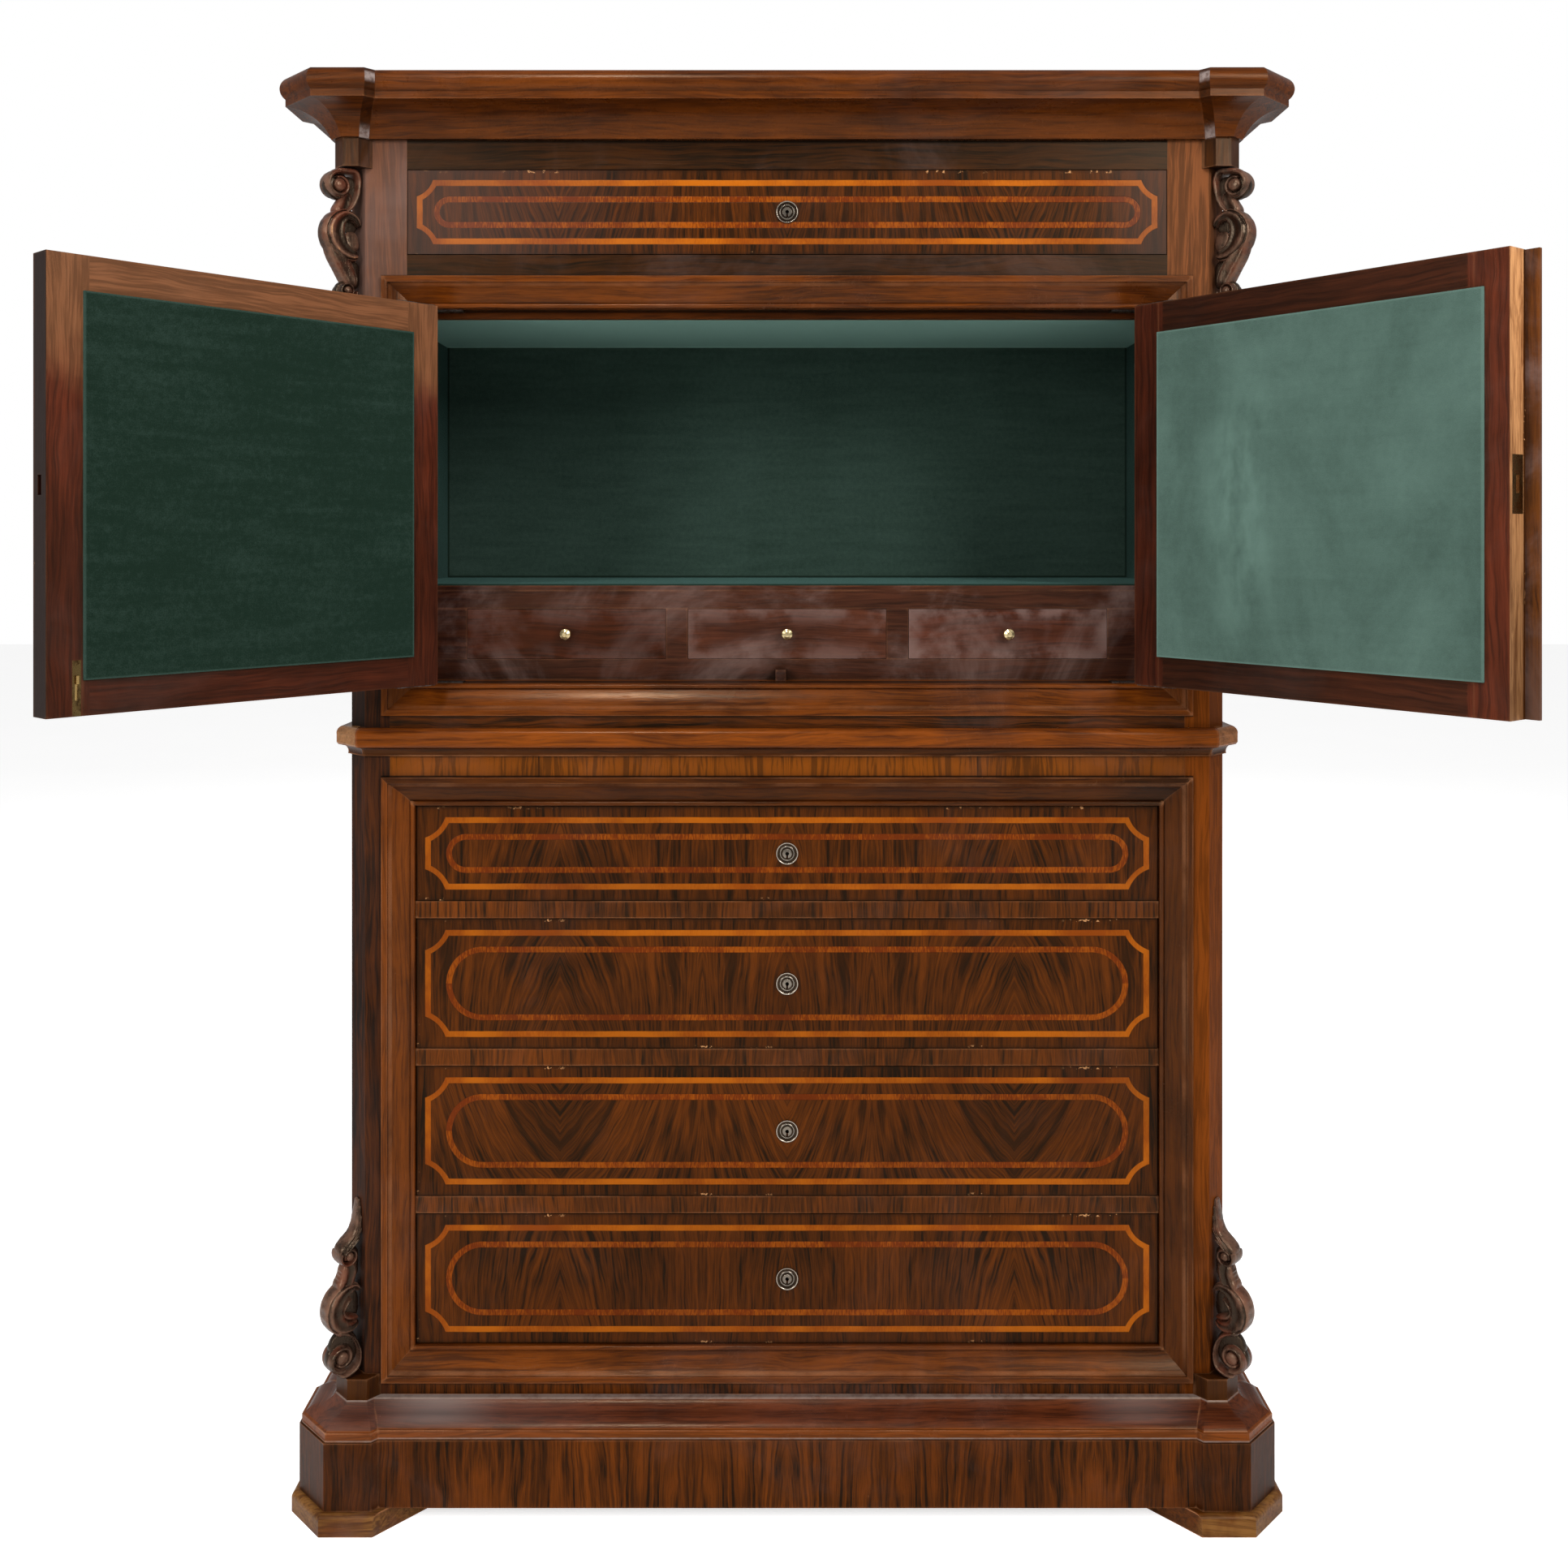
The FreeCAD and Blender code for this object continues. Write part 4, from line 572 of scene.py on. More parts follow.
class Finish:
    """The colour of a wooden surface while marks are laid over it."""

    def __init__(self, g, place, node, colour, tone, dark, seed):
        self.g, self.place, self.node, self.colour = g, place, node, colour
        self.tone, self.dark, self.seed, self.w = tone, dark, seed, settings().wood
        self.x, self.y, self.z = g.split(place)

    def shade(self, share):
        self.colour = self.g.scaled(self.colour, share)

    def cover(self, share, colour):
        self.colour = self.g.mix(share, self.colour, colour)

    def toned(self, low, high):
        """From low to high with the tone of the grain."""
        return self.g.ramp(self.tone, 0.15, 0.85, low, high)

    def solid(self, low, high):
        return self.g.scaled(pair(SOLID)[1], self.toned(low, high))

    # The bloom colour tinted, for pale worn lines and for painted sheen and highlights
    def dust_and_sheen_tint(self, *factors):
        return self.g.times(self.w.dust[:3], factors)


def painted_left_sheen(f, amount):
    """A pale sheen painted towards the left side, a painted reflection; on the posts most of it
    high up.
    """
    share = f.g.ramp(f.x, -0.12, -0.42) * amount
    if f.node == "corner_posts":
        share = share * f.g.ramp(f.z, 0.90, 1.35, 0.10, 0.80)
        post_light(f)
    f.cover(share * f.g.clouds(f.place, (7.0, 4.0), 0.30, 0.62, 0.35, 1.0), tuple(f.w.dust))


def post_light(f):
    """Posts are worn beside the frieze drawer, and more light on the right is painted into them:
    painted shade on the left, painted light on the right.
    """
    g, x, z = f.g, f.x, f.z
    f.colour = g.mix(g.ramp(z, 1.10, 1.42), g.scaled(f.colour, 0.75),
                     g.mix(0.5, g.scaled(f.colour, 1.15), tuple(f.w.solid_worn)))
    f.shade(f.toned(0.72, 1.12))
    # Painted light: darker on the left, lighter on the right
    f.shade(g.ramp(x, -0.42, 0.42, 0.80, 1.20))
    lighter = g.ramp(x, 0.0, 0.1) * g.ramp(z, 1.30, 1.42, 0.62, 0.0)
    f.cover(lighter * g.ramp(z, 0.14, 0.48, 0.20, 1.0), f.solid(0.75, 1.1))


def pale_rim(f, amount):
    """Paler, duller colour round the rim of a front."""
    local, half = centred(f.g, f.place, f.node)
    x, _, z = f.g.split(local)
    share = f.g.fall(f.g.least(half[0] - abs(x), half[2] - abs(z)), 0.0, 0.026) * amount
    f.cover(share * f.g.clouds(f.place, (30.0, 4.0), 0.35, 0.60), tuple(f.w.dust))


def frame_shadow_lines(f):
    """Dark lines round both frame mouldings: painted shade in the gaps beside them."""
    for moulding in ("upper_frame_moulding", "lower_frame_moulding"):
        low, high = span(moulding)
        up = float((low + high)[2] / 2)
        half = [float(c) for c in (high - low) / 2]
        beyond = f.g.most(abs(f.x) - half[0], abs(f.z - up) - half[2])
        f.shade(f.g.ramp(beyond, 0.0010, 0.0018, 0.15, 1.0))


def dark_top_rail(f):
    """The lower frame's top rail lies in shade as far as its mitres."""
    high = [float(c) for c in span(f.node)[1]]
    over = high[0] - abs(f.x) - (high[2] - f.z)
    f.shade(f.g.ramp(over, 0.0, 0.0005, 1.0, 0.50))


def raw_ends(f):
    """Bare wood where the waist moulding's ends are worn, more on the left."""
    g = f.g
    cut = (g.ramp(abs(f.x), *WAIST_END) * g.fall(f.y, *WAIST_FRONT)
           * g.ramp(f.x, -0.4, 0.4, 0.85, 0.40) * g.ramp(f.z, *WAIST_UP)
           * g.clouds(f.place, (120.0, 4.0, 0.7), 0.25, 0.6, 0.6, 1.0))
    f.cover(cut, g.mix(f.tone, g.scaled(f.w.raw_light[:3], 0.6), tuple(f.w.raw_light)))


def base_lines(f):
    """An orange fillet, a painted grey sheen before both corners, and pale lines along both edges.
    """
    g, z = f.g, f.z
    f.cover(g.ramp(z, *BASE_FILLET, 0.75, 0.0), f.solid(0.55, 0.95))
    # Painted reflection: a grey sheen before both corners
    grey = (g.fall(abs(abs(f.x) - 0.405), 0.0, 0.085) * g.ramp(f.x, -0.3, 0.3, 0.60, 0.38)
            * g.ramp(z, *BASE_SHEEN))
    f.cover(grey, f.dust_and_sheen_tint(0.95, 1.15, 1.2))
    lines = g.most(g.ramp(z, *BASE_LOW_LINE, 0.85, 0.0), g.ramp(z, *BASE_HIGH_LINE, 0.0, 0.7))
    f.cover(lines * g.clouds(f.place, (90.0, 4.0, 0.6), 0.3, 0.6, 0.55, 1.0),
            f.dust_and_sheen_tint(1.2, 1.4, 1.35))


def raw_feet(f):
    """Patches worn to bare wood, most of them in front."""
    patch = (f.g.clouds(f.place, (11.0, 4.0, 0.6), 0.36, 0.52)
             * f.g.ramp(f.y, 0.02, 0.05, 0.85, 0.2))
    bare = f.g.mix(f.tone, tuple(f.w.raw_dark), tuple(f.w.raw_light))
    f.cover(patch, f.g.times(bare, (0.52, 0.48, 0.28)))


def canted_break_highlights(f):
    """The narrow canted facets of the cornice's breaks: a painted highlight on cove and fillet,
    painted shade elsewhere.
    """
    g, z = f.g, f.z
    off = f.y * CANT_SLOPE + CANT_LINE - abs(f.x)
    lit = g.most(g.fall(z, *COVE), g.ramp(z, *TOP_FILLET_UP) * g.fall(z, *TOP_FILLET_END))
    lit = lit * g.clouds(f.place, (160.0, 4.0, 0.7), 0.25, 0.65, 0.25, 1.0)
    # Painted highlight on the facets' cove and fillet, painted shade on the rest
    f.cover(g.ramp(off, 0.0004, 0.0010) * g.ramp(off, 0.0131, 0.0137, 0.85, 0.0),
            g.mix(lit, g.scaled(f.colour, 0.45), f.dust_and_sheen_tint(1.7, 2.1, 2.2)))


def door_faces(f):
    """The faces of an open door: its inner one as given, darker low down and paler towards the
    top on the left door and in painted shade at the hinges of the right one, its free edge and its
    inlaid outer face."""
    g, w = f.g, f.w
    local, half = leaf_place(g, f.place, f.node)
    x, y, z = g.split(local)
    if f.node == "door_astragal":
        outside = g.mix(0.6, f.dark, pair(SOLID)[0])
        f.shade(g.ramp(z, -half[2], half[2], 0.8, 1.1))
    else:
        outside, _ = veneered(g, local, half, (0.020, 0.020, settings().inlay.notch * 1.6),
                              (0.062, 0.060), f.seed, 1.2, (0.62, 0.66))
        free = g.ramp(x, *(half[0] - under for under in FREE_EDGE))
    if f.node == "door_right_leaf":
        f.shade(g.ramp(x, -half[0], half[0], 0.55, 1.20))
        rails = g.fall(abs(x), half[0] - DOOR_STILE - 0.002, half[0] - DOOR_STILE + 0.002) * 0.8
        f.cover(rails, g.times(f.colour, (0.42, 0.62, 0.66)))
        bare = g.mix(f.tone, tuple(w.raw_dark), tuple(w.raw_light))
        f.cover(free, g.scaled(bare, g.ramp(z, -half[2], half[2], 0.55, 1.5)))
    elif f.node == "door_left_leaf":
        high = z + (g.noise(f.place, 9.0, 4.0, 0.6) - 0.5) * 0.16
        f.shade(g.ramp(high, -0.12, 0.10, 0.62, 1.15))
        paler_top = g.mix(g.ramp(f.tone, 0.1, 0.9), *(g.scaled(w.rubbed[:3], share)
                                                     for share in (0.36, 0.62)))
        f.cover(g.ramp(high, 0.085, 0.15, 0.0, 0.72), paler_top)
        f.cover(free, g.scaled(f.dark, 0.22))
    depth = y * OUTER_SIDE[f.node]
    f.cover(g.ramp(depth, *(half[1] - under for under in OUTER_SKIN)), outside)


MARKS = {"corner_posts": frame_shadow_lines, "front_rails": frame_shadow_lines,
         "lower_frame_moulding": dark_top_rail, "waist_moulding": raw_ends,
         "base_moulding": base_lines, "feet": raw_feet, "cornice": canted_break_highlights,
         "door_left_leaf": door_faces, "door_right_leaf": door_faces,
         "door_astragal": door_faces}


def rail_colours(g, place, grain, dark):
    """The front rails: jointed golden veneer over the top drawer, dull red wood round the
    cupboard."""
    w = settings().wood
    across, _, high = g.split(place)
    golden = g.ramp(high, *GOLD_STRIP[:2]) * g.fall(high, *GOLD_STRIP[2:])
    joint = g.least(*(g.ramp(abs(across - at), 0.0003, 0.0012, 0.25, 1.0)
                      for at in GOLD_JOINTS))
    tinted = g.mix(g.ramp(high, *CUPBOARD_UP), grain["Color"],
                   g.times(grain["Color"], (0.27, 0.32, 0.50)))
    veneer = g.mix(0.62, tinted, g.scaled(w.band_outer[:3], 0.42))
    veneer = g.mix(g.ramp(grain["Tone"], 0.55, 0.15) * 0.5, veneer, dark)
    return g.mix(golden, tinted, g.scaled(veneer, joint))


def wood(name, kind, along, node=None, seed=0.0, figure=0.6, leaf=0.4, grime=0.5, bloom=0.10,
         chips=0.25, gloss=0.20, lift=1.0, rub=0.0, left=0.0, halo=0.0, shine=0.22):
    """Polished or bare wood with its grain along one axis. Lift, a number or one for each of
    red, green and blue, makes it lighter or darker, rub pales its arrises, left paints a pale
    sheen on its left side as a painted reflection, and halo pales its rim."""
    w = settings().wood
    dark, light = (tuple(np.minimum(np.multiply(each[:3], lift), 1.0).tolist()) + (1.0,)
                   for each in pair(kind))
    made, g, shader, place = new_material(name, specular=shine)
    laid = lay(g, place, along, node)
    if kind == RAW:  # boards, not leaves: one very wide leaf, well away from its mirror line
        laid, leaf = g.mapped(laid, move=(9.0, 0.0, 0.0)), 50.0
    grain = g.group("grain", Vector=laid, Dark=dark, Light=light, Figure=figure, Leaf=leaf,
                    Leaf_Start=0.11, Seed=seed)
    tinted = rail_colours(g, place, grain, dark) if along == "rails" else grain["Color"]
    worn = g.group("wear", Vector=place, Color=tinted, Grime=grime, Bloom=bloom, Chips=chips,
                   Bare=tuple(w.raw_dark), Dust=tuple(w.dust))
    finish = Finish(g, place, node, worn["Color"], grain["Tone"], dark, seed)
    # Painted reflection: a pale sheen towards the left side
    if left:
        painted_left_sheen(finish, left)
    if halo:
        pale_rim(finish, halo)
    for axis, at, over, before, after in SHADED.get(node, ()):
        part = abs(finish.x) if axis == "side" else getattr(finish, axis)
        finish.shade(g.ramp(part, at, at + over, before, after))
    if node in MARKS:
        MARKS[node](finish)
    if rub:
        finish.cover(g.group("edge", Vector=place, Amount=rub)["Mask"], tuple(w.rubbed))
    g.fill(shader.inputs, Base_Color=finish.colour, Roughness=worn["Rough"] + gloss)
    bump(g, shader, grain["Height"] * 0.4 + worn["Height"], 0.0003)
    return made


def veneered(g, local, half, outer, inner, seed, fan, age):
    """Mirrored leaves of upright veneer on a front centred on the origin, its two bands and a
    darker rim. The bands are cut across the grain, so that they change along X in soft lengths
    with short flecks; age is the light share of each. Returns the colour and the height."""
    w, band = settings().wood, settings().inlay.band
    dark, light = pair(WALNUT)
    x, y, z = g.split(local)
    figure = g.group("grain", Vector=local, Dark=dark, Light=light, Figure=0.9, Leaf=0.168,
                     Leaf_Start=0.10, Fan=fan, Seed=seed)
    rim = g.group("grain", Vector=local, Dark=dark, Light=light, Figure=0.3, Leaf=0.3,
                  Seed=seed + 3.1)
    bands = g.group("bands", Vector=local, Half_Wide=half[0], Half_High=half[2],
                    Outer_In=outer[0], Outer_Down=outer[1], Band=band, Notch=outer[2],
                    Inner_In=inner[0], Inner_Down=inner[1])
    field = g.mix(bands["Field"], g.scaled(rim["Color"], 0.8), figure["Color"])
    steps = g.noise(g.join(x, g.math("SIGN", z) * 0.5, seed), 15.0, 4.0, 0.7)
    streak = g.noise(g.join(x, y, z * 0.2), 620.0, 3.0, 0.6)
    maple, red = (tuple(c * share for c in tone)
                  for tone, share in zip((w.band_outer, w.band_inner), age))
    pale = g.mix(g.ramp(streak * 0.25 + g.noise(local, 9.0, 3.0, 0.6), 0.50, 0.80), maple,
                 g.mix(0.75, maple, red))
    deep = g.mix(g.ramp((streak - 0.5) * 0.9 + steps, 0.32, 0.60), g.mix(0.50, red, maple),
                 g.mix(0.25, red, dark))
    laid = g.mix(bands["Inner"], g.mix(bands["Outer"], field, pale), deep)
    edged = g.mix(bands["Edge"] * 0.5, g.mix(bands["Seam"] * 0.30, laid, dark), dark)
    chipped = (g.clouds(local, (210.0, 3.0, 0.6), 0.60, 0.63)
               * g.clouds(local, (9.0, 2.0), 0.58, 0.64) * g.ramp(bands["Edge"], 0.05, 0.35))
    return (g.mix(chipped, edged, tuple(w.raw_light)),
            figure["Height"] * 0.3 - bands["Seam"] * 0.4)


def inlaid(name, node, outer, inner, seed, fan, age):
    """A drawer front: inlaid veneer under old polish."""
    w = settings().wood
    made, g, shader, place = new_material(name, specular=0.16)
    local, half = centred(g, place, node)
    front, height = veneered(g, local, half, outer, inner, seed, fan, age)
    worn = g.group("wear", Vector=place, Color=front, Grime=0.5, Bloom=0.05, Chips=0.35,
                   Bare=tuple(w.raw_dark), Dust=tuple(w.dust))
    finish = worn["Color"]
    if node == "frieze_drawer_front":
        across = g.split(place)[0]
        # Painted reflection: a pale sheen at both ends of the frieze front
        end_sheen = g.most(g.ramp(across, -0.44, -0.10, 0.26, 0.0),
                      g.ramp(across, 0.34, 0.44, 0.0, 0.22))
        finish = g.mix(end_sheen, finish, g.scaled(w.dust[:3], 0.6))
    g.fill(shader.inputs, Base_Color=finish, Roughness=worn["Rough"] + 0.25)
    bump(g, shader, height + worn["Height"], 0.0003)
    return made


# Felt and metal

def felt(name, dark, light, brush, sheen, painted_lining_light=0.0, front=0.0, node=None, patch=0.0):
    """Napped felt; the lining's share paints light overhead, painted shade on the sides and the
    floor, and a painted highlight along the edge at the front. On a door, node's rim is pale and
    patch is how much one upright patch of the nap catches the light."""
    made, g, shader, place = new_material(name, roughness=0.95, sheen=0.15, specular=0.1)
    shader.inputs["Sheen Tint"].default_value = (0.35, 0.75, 0.68, 1.0)
    cloth = g.group("felt", Vector=place, Dark=dark, Light=light, Brush=brush, Sheen=sheen)
    x, y, z = g.split(place)
    # Painted shade on the sides and floor, painted light overhead, painted highlight at the front
    # edge
    under = g.fall(z, *LINING_FLOOR)
    shaded = g.mix(g.most(g.ramp(abs(x), *LINING_SIDE) * painted_lining_light, under * painted_lining_light), cloth["Color"],
                   g.scaled(dark, 0.55))
    edged = g.mix(under * g.fall(y, front + 0.002, front + 0.004) * painted_lining_light, shaded, light)
    tone = g.mix(g.ramp(z, *LINING_TOP) * painted_lining_light, edged, g.scaled(light, 2.6))
    if node:
        local, half = leaf_place(g, place, node)
        x, _, z = g.split(local)
        rim = g.least(half[0] - abs(x), half[2] - abs(z))
        hazy = g.clouds(g.mapped(local, (1.0, 1.0, 0.5)), (20.0, 4.0, 0.6), 0.25, 0.70)
        lit = (g.fall(abs(x + half[0] * 0.42), 0.0, 0.065) * g.fall(abs(z + 0.02), 0.03, 0.19)
               * hazy * patch)
        scuff = (g.clouds(g.mapped(local, (0.05, 1.0, 1.6)), (70.0, 2.0, 0.5), 0.74, 0.80)
                 * g.clouds(local, (13.0, 2.0), 0.52, 0.64, 0.0, 0.30))
        share = g.most(g.most(lit, scuff), g.ramp(rim, 0.0008, 0.0026, 0.12 + 0.3 * patch, 0.0))
        tone = g.mix(share, tone, g.scaled(light, 1.25))
    g.put(shader.inputs["Base Color"], tone)
    bump(g, shader, cloth["Height"], 0.0006)
    return made


def metal(name, bright, tarnish, age, rings=None, pits=1.0):
    """Old metal; rings is the (x, z) centre of turned grooves and the radius they end at."""
    made, g, shader, place = new_material(name, metallic=1.0)
    old = g.group("metal", Vector=place, Bright=bright, Tarnish=tarnish, Age=age)
    tone, height = old["Color"], old["Height"]
    if rings:
        x, _, z = g.split(g.mapped(place, move=(-rings[0], 0.0, -rings[1])))
        radius = g.far(x, z) / rings[2]
        groove = g.most(*(g.fall(abs(radius - at), wide * 0.5, wide)
                          for at, wide in ((0.80, 0.15), (0.50, 0.09))))
        tone = g.mix(g.ramp(radius, 0.90, 0.94), tone, g.scaled(bright, 1.9))
        tone = g.mix(groove * 0.92, tone, g.scaled(tarnish, 0.6))
        height = height * 0.2 - groove * 2.5 + g.ramp(radius, 0.0, 0.60, 0.25, 0.0) * 6.0
    g.fill(shader.inputs, Base_Color=tone, Roughness=old["Rough"])
    bump(g, shader, height, 0.0002, pits)
    return made


# Carving: every scroll is a set of bands swept along plane curves, as numpy surfaces

def through(points, count):
    """Smooth rows through rows of numbers: cubic Hermite spans over the chord length of the
    first two columns, with the slope at each row taken from its neighbours."""
    rows = np.array(points, float)
    steps = np.linalg.norm(np.diff(rows[:, :2], axis=0), axis=1)
    at = np.concatenate(([0.0], np.cumsum(steps)))
    slope = np.gradient(rows, at, axis=0)
    want = np.linspace(0.0, at[-1], count)
    i = np.clip(np.searchsorted(at, want, side="right") - 1, 0, len(rows) - 2)
    span_long = (at[i + 1] - at[i])[:, None]
    t = ((want - at[i])[:, None]) / span_long
    return ((2 * t**3 - 3 * t**2 + 1) * rows[i] + (t**3 - 2 * t**2 + t) * span_long * slope[i]
            + (3 * t**2 - 2 * t**3) * rows[i + 1] + (t**3 - t**2) * span_long * slope[i + 1])


def grid_faces(long, around):
    """Quads of a tube of long rings with around points each, as index rows."""
    i, j = np.meshgrid(np.arange(long - 1), np.arange(around), indexing="ij")
    k = (j + 1) % around
    return np.stack((i * around + j, i * around + k, (i + 1) * around + k,
                     (i + 1) * around + j), -1).reshape(-1, 4)


def band(points, furrows=(), count=96, around=48, corner=3.4, reeds=0.0, ends=1.0, ridge_highlight=None):
    """A carved band: rows of (out, up, half width, half thickness) in mm. Its section is the
    superellipse |p|^c + |q|^c = 1 whose q sinks by depth * exp(-((p - at) / width)^2) at each
    furrow (at, depth, width) and whose sides are fluted across the thickness by reeds. Both half
    sizes go to nothing at the ends as a quarter circle. Returns points, faces and rub: wear on
    the high places together with painted light, paler on the outer side as a painted highlight
    and darker in the furrows as painted shade; ridge (at, amount) raises it along one line as a
    painted highlight."""
    rows = through(points, count)
    wide, thick = rows[:, 2], rows[:, 3]
    way = np.gradient(rows[:, :2], axis=0)
    steps = np.linalg.norm(np.diff(rows[:, :2], axis=0), axis=1)
    run = np.concatenate(([0.0], np.cumsum(steps)))
    way /= np.linalg.norm(way, axis=1)[:, None]
    side = np.stack((-way[:, 1], way[:, 0]), -1)
    from_end = np.minimum(run, run[-1] - run) / np.maximum(wide, 0.5)
    shrink = np.sqrt(np.clip(1.0 - (1.0 - np.clip(from_end / ends, 0.0, 1.0)) ** 2, 0.0004, 1.0))
    turn = np.linspace(0.0, 2 * np.pi, around, endpoint=False)
    p, q = (np.sign(part) * np.abs(part) ** (2 / corner) for part in (np.cos(turn), np.sin(turn)))
    sunk = sum((depth * np.exp(-((p - at) / width) ** 2) for at, depth, width in furrows),
               np.zeros(around))
    ripple = (1.0 + 0.02 * np.sin(run * 0.9)[:, None] * np.cos(3 * turn)[None, :]
              - reeds * (np.cos(2.5 * np.pi * q) ** 2)[None, :])
    along = (wide * shrink)[:, None] * p[None, :] * ripple
    deep = (thick * (0.35 + 0.65 * shrink))[:, None] * (q * (1.0 - sunk))[None, :]
    flat = rows[:, None, :2] + side[:, None, :] * along[..., None]
    verts = np.concatenate((flat, deep[..., None]), -1).reshape(-1, 3)
    # Paler on the outer side as a painted highlight, darker in the furrows as painted shade
    rub = np.clip(0.30 + np.where(p > 0, 1.0, 0.35) * np.abs(p) ** 5 * np.abs(q) ** 2 - 1.9 * sunk
                  + 0.14 * np.abs(p) ** 12, 0.0, 1.0)
    if ridge_highlight:
        rub = rub + ridge_highlight[1] * np.exp(-((p - ridge_highlight[0]) / 0.13) ** 2) * (q > 0)
    return verts, grid_faces(count, around), np.tile(rub, count)


def boss(centre, profile, rub):
    """A round boss about an axis through the carving: rows of (radius, half thickness) in mm."""
    around = 40
    rows = np.array(profile, float)
    ring = np.concatenate((rows * (1, -1), rows[::-1]))
    turn = np.linspace(0.0, 2 * np.pi, around, endpoint=False)
    out = centre[0] + ring[:, :1] * np.cos(turn)
    up = centre[1] + ring[:, :1] * np.sin(turn)
    verts = np.stack((out, up, np.repeat(ring[:, 1:], around, 1)), -1).reshape(-1, 3)
    return verts, grid_faces(len(ring), around), np.full(len(verts), rub)


CLOSE, THICK = 0.62, 12.6


def volute(centre, start, turns, reach, eye, ring):
    """A rolled end: a band on the spiral reach * CLOSE^(turn) about centre, from the angle start
    in degrees, over a thinner disc, with a domed eye. The band narrows from the width ring as
    the radius does, and a positive number of turns winds anticlockwise."""
    count = 26
    angle = math.radians(start) + np.linspace(0.0, 1.0, count) * turns * 2 * np.pi
    radius = reach * CLOSE ** np.linspace(0.0, abs(turns), count)
    half = ring / 2 * np.sqrt(radius / reach)
    rows = np.stack((centre[0] + (radius - half) * np.cos(angle),
                     centre[1] + (radius - half) * np.sin(angle), half,
                     np.linspace(THICK, THICK * 0.94, count)), -1)
    disc = [(0.0, THICK * 0.40), (reach * 0.80, THICK * 0.40), (reach * 0.88, THICK * 0.25)]
    dome = [(eye * share, THICK * thick) for share, thick in (
        (0.0, 1.02), (0.45, 1.0), (0.78, 0.93), (0.95, 0.82), (1.0, 0.66), (1.0, 0.0))]
    return [band(rows, count=140, corner=2.6, reeds=0.10), boss(centre, disc, 0.0),
            boss(centre, dome, 0.5)]


def web(*rows):
    """Sunk wood between the bands, darkened as painted shade."""
    verts, faces, rub = band(rows, count=30, around=24, corner=6.0)
    return verts, faces, rub * 0.2 - 0.7


def upper_scroll():
    """The scroll under the cornice, in mm outward from the cant and up from the floor."""
    return (
        volute((28.5, 1539.5), 100, -1.12, 18.4, 7.4, 6.2)
        + [band([(32, 1555.9, 3.2, 12.2), (20, 1557.0, 3.6, 12.3), (8, 1557.0, 3.6, 12.2),
                 (4.3, 1550, 3.2, 12.0), (4.6, 1538, 3.0, 12.0), (7.5, 1526, 2.8, 12.0),
                 (13.5, 1515, 2.6, 11.6), (20, 1508.5, 2.4, 11.0)], corner=2.8),
           band([(15, 1534, 6.0, 6.0), (18, 1524, 7.8, 7.6), (23, 1513, 9.0, 9.4),
                 (28, 1503, 9.0, 11.0)], ((-0.1, 0.16, 0.4),)),
           band([(1.2, 1494, 2.6, 8.5), (7.5, 1502.5, 4.6, 11.2), (19, 1506.0, 7.4, 12.2),
                 (29.5, 1499, 11.2, 12.6), (34.4, 1487, 13.8, 12.9), (31.6, 1474, 13.8, 12.8),
                 (24.0, 1465.0, 11.2, 12.6), (13, 1460.0, 8.4, 12.4), (4.0, 1460.5, 6.0, 12.0)],
                ((0.62, 0.26, 0.11), (0.93, 0.10, 0.07), (-0.35, 0.20, 0.36)), count=150,
                around=96, ends=0.8, ridge_highlight=(0.40, 0.6)),
           band([(38, 1476, 7.0, 10.0), (31, 1461, 9.2, 10.6), (21, 1446, 10.2, 11.0),
                 (14.5, 1434, 9.6, 11.2), (10.5, 1422, 6.6, 11.6)],
                ((-0.76, 0.22, 0.10), (0.15, 0.07, 0.4)), around=64),
           web((18, 1552, 13, 4.0), (15, 1536, 12, 4.0), (17, 1520, 9, 4.5)),
           web((12, 1503, 11, 2.4), (12, 1495, 11, 2.2), (11, 1486, 10, 2.6)),
           band([(11, 1489, 8, 3.0), (10, 1476, 9, 5.5), (9, 1464, 8, 8.0)], count=40),
           web((10, 1455, 9, 5.0), (10, 1438, 9, 5.0), (10, 1420, 9, 5.0))]
        + volute((18.4, 1417.8), 175, 1.15, 13.4, 5.0, 4.4)
    )


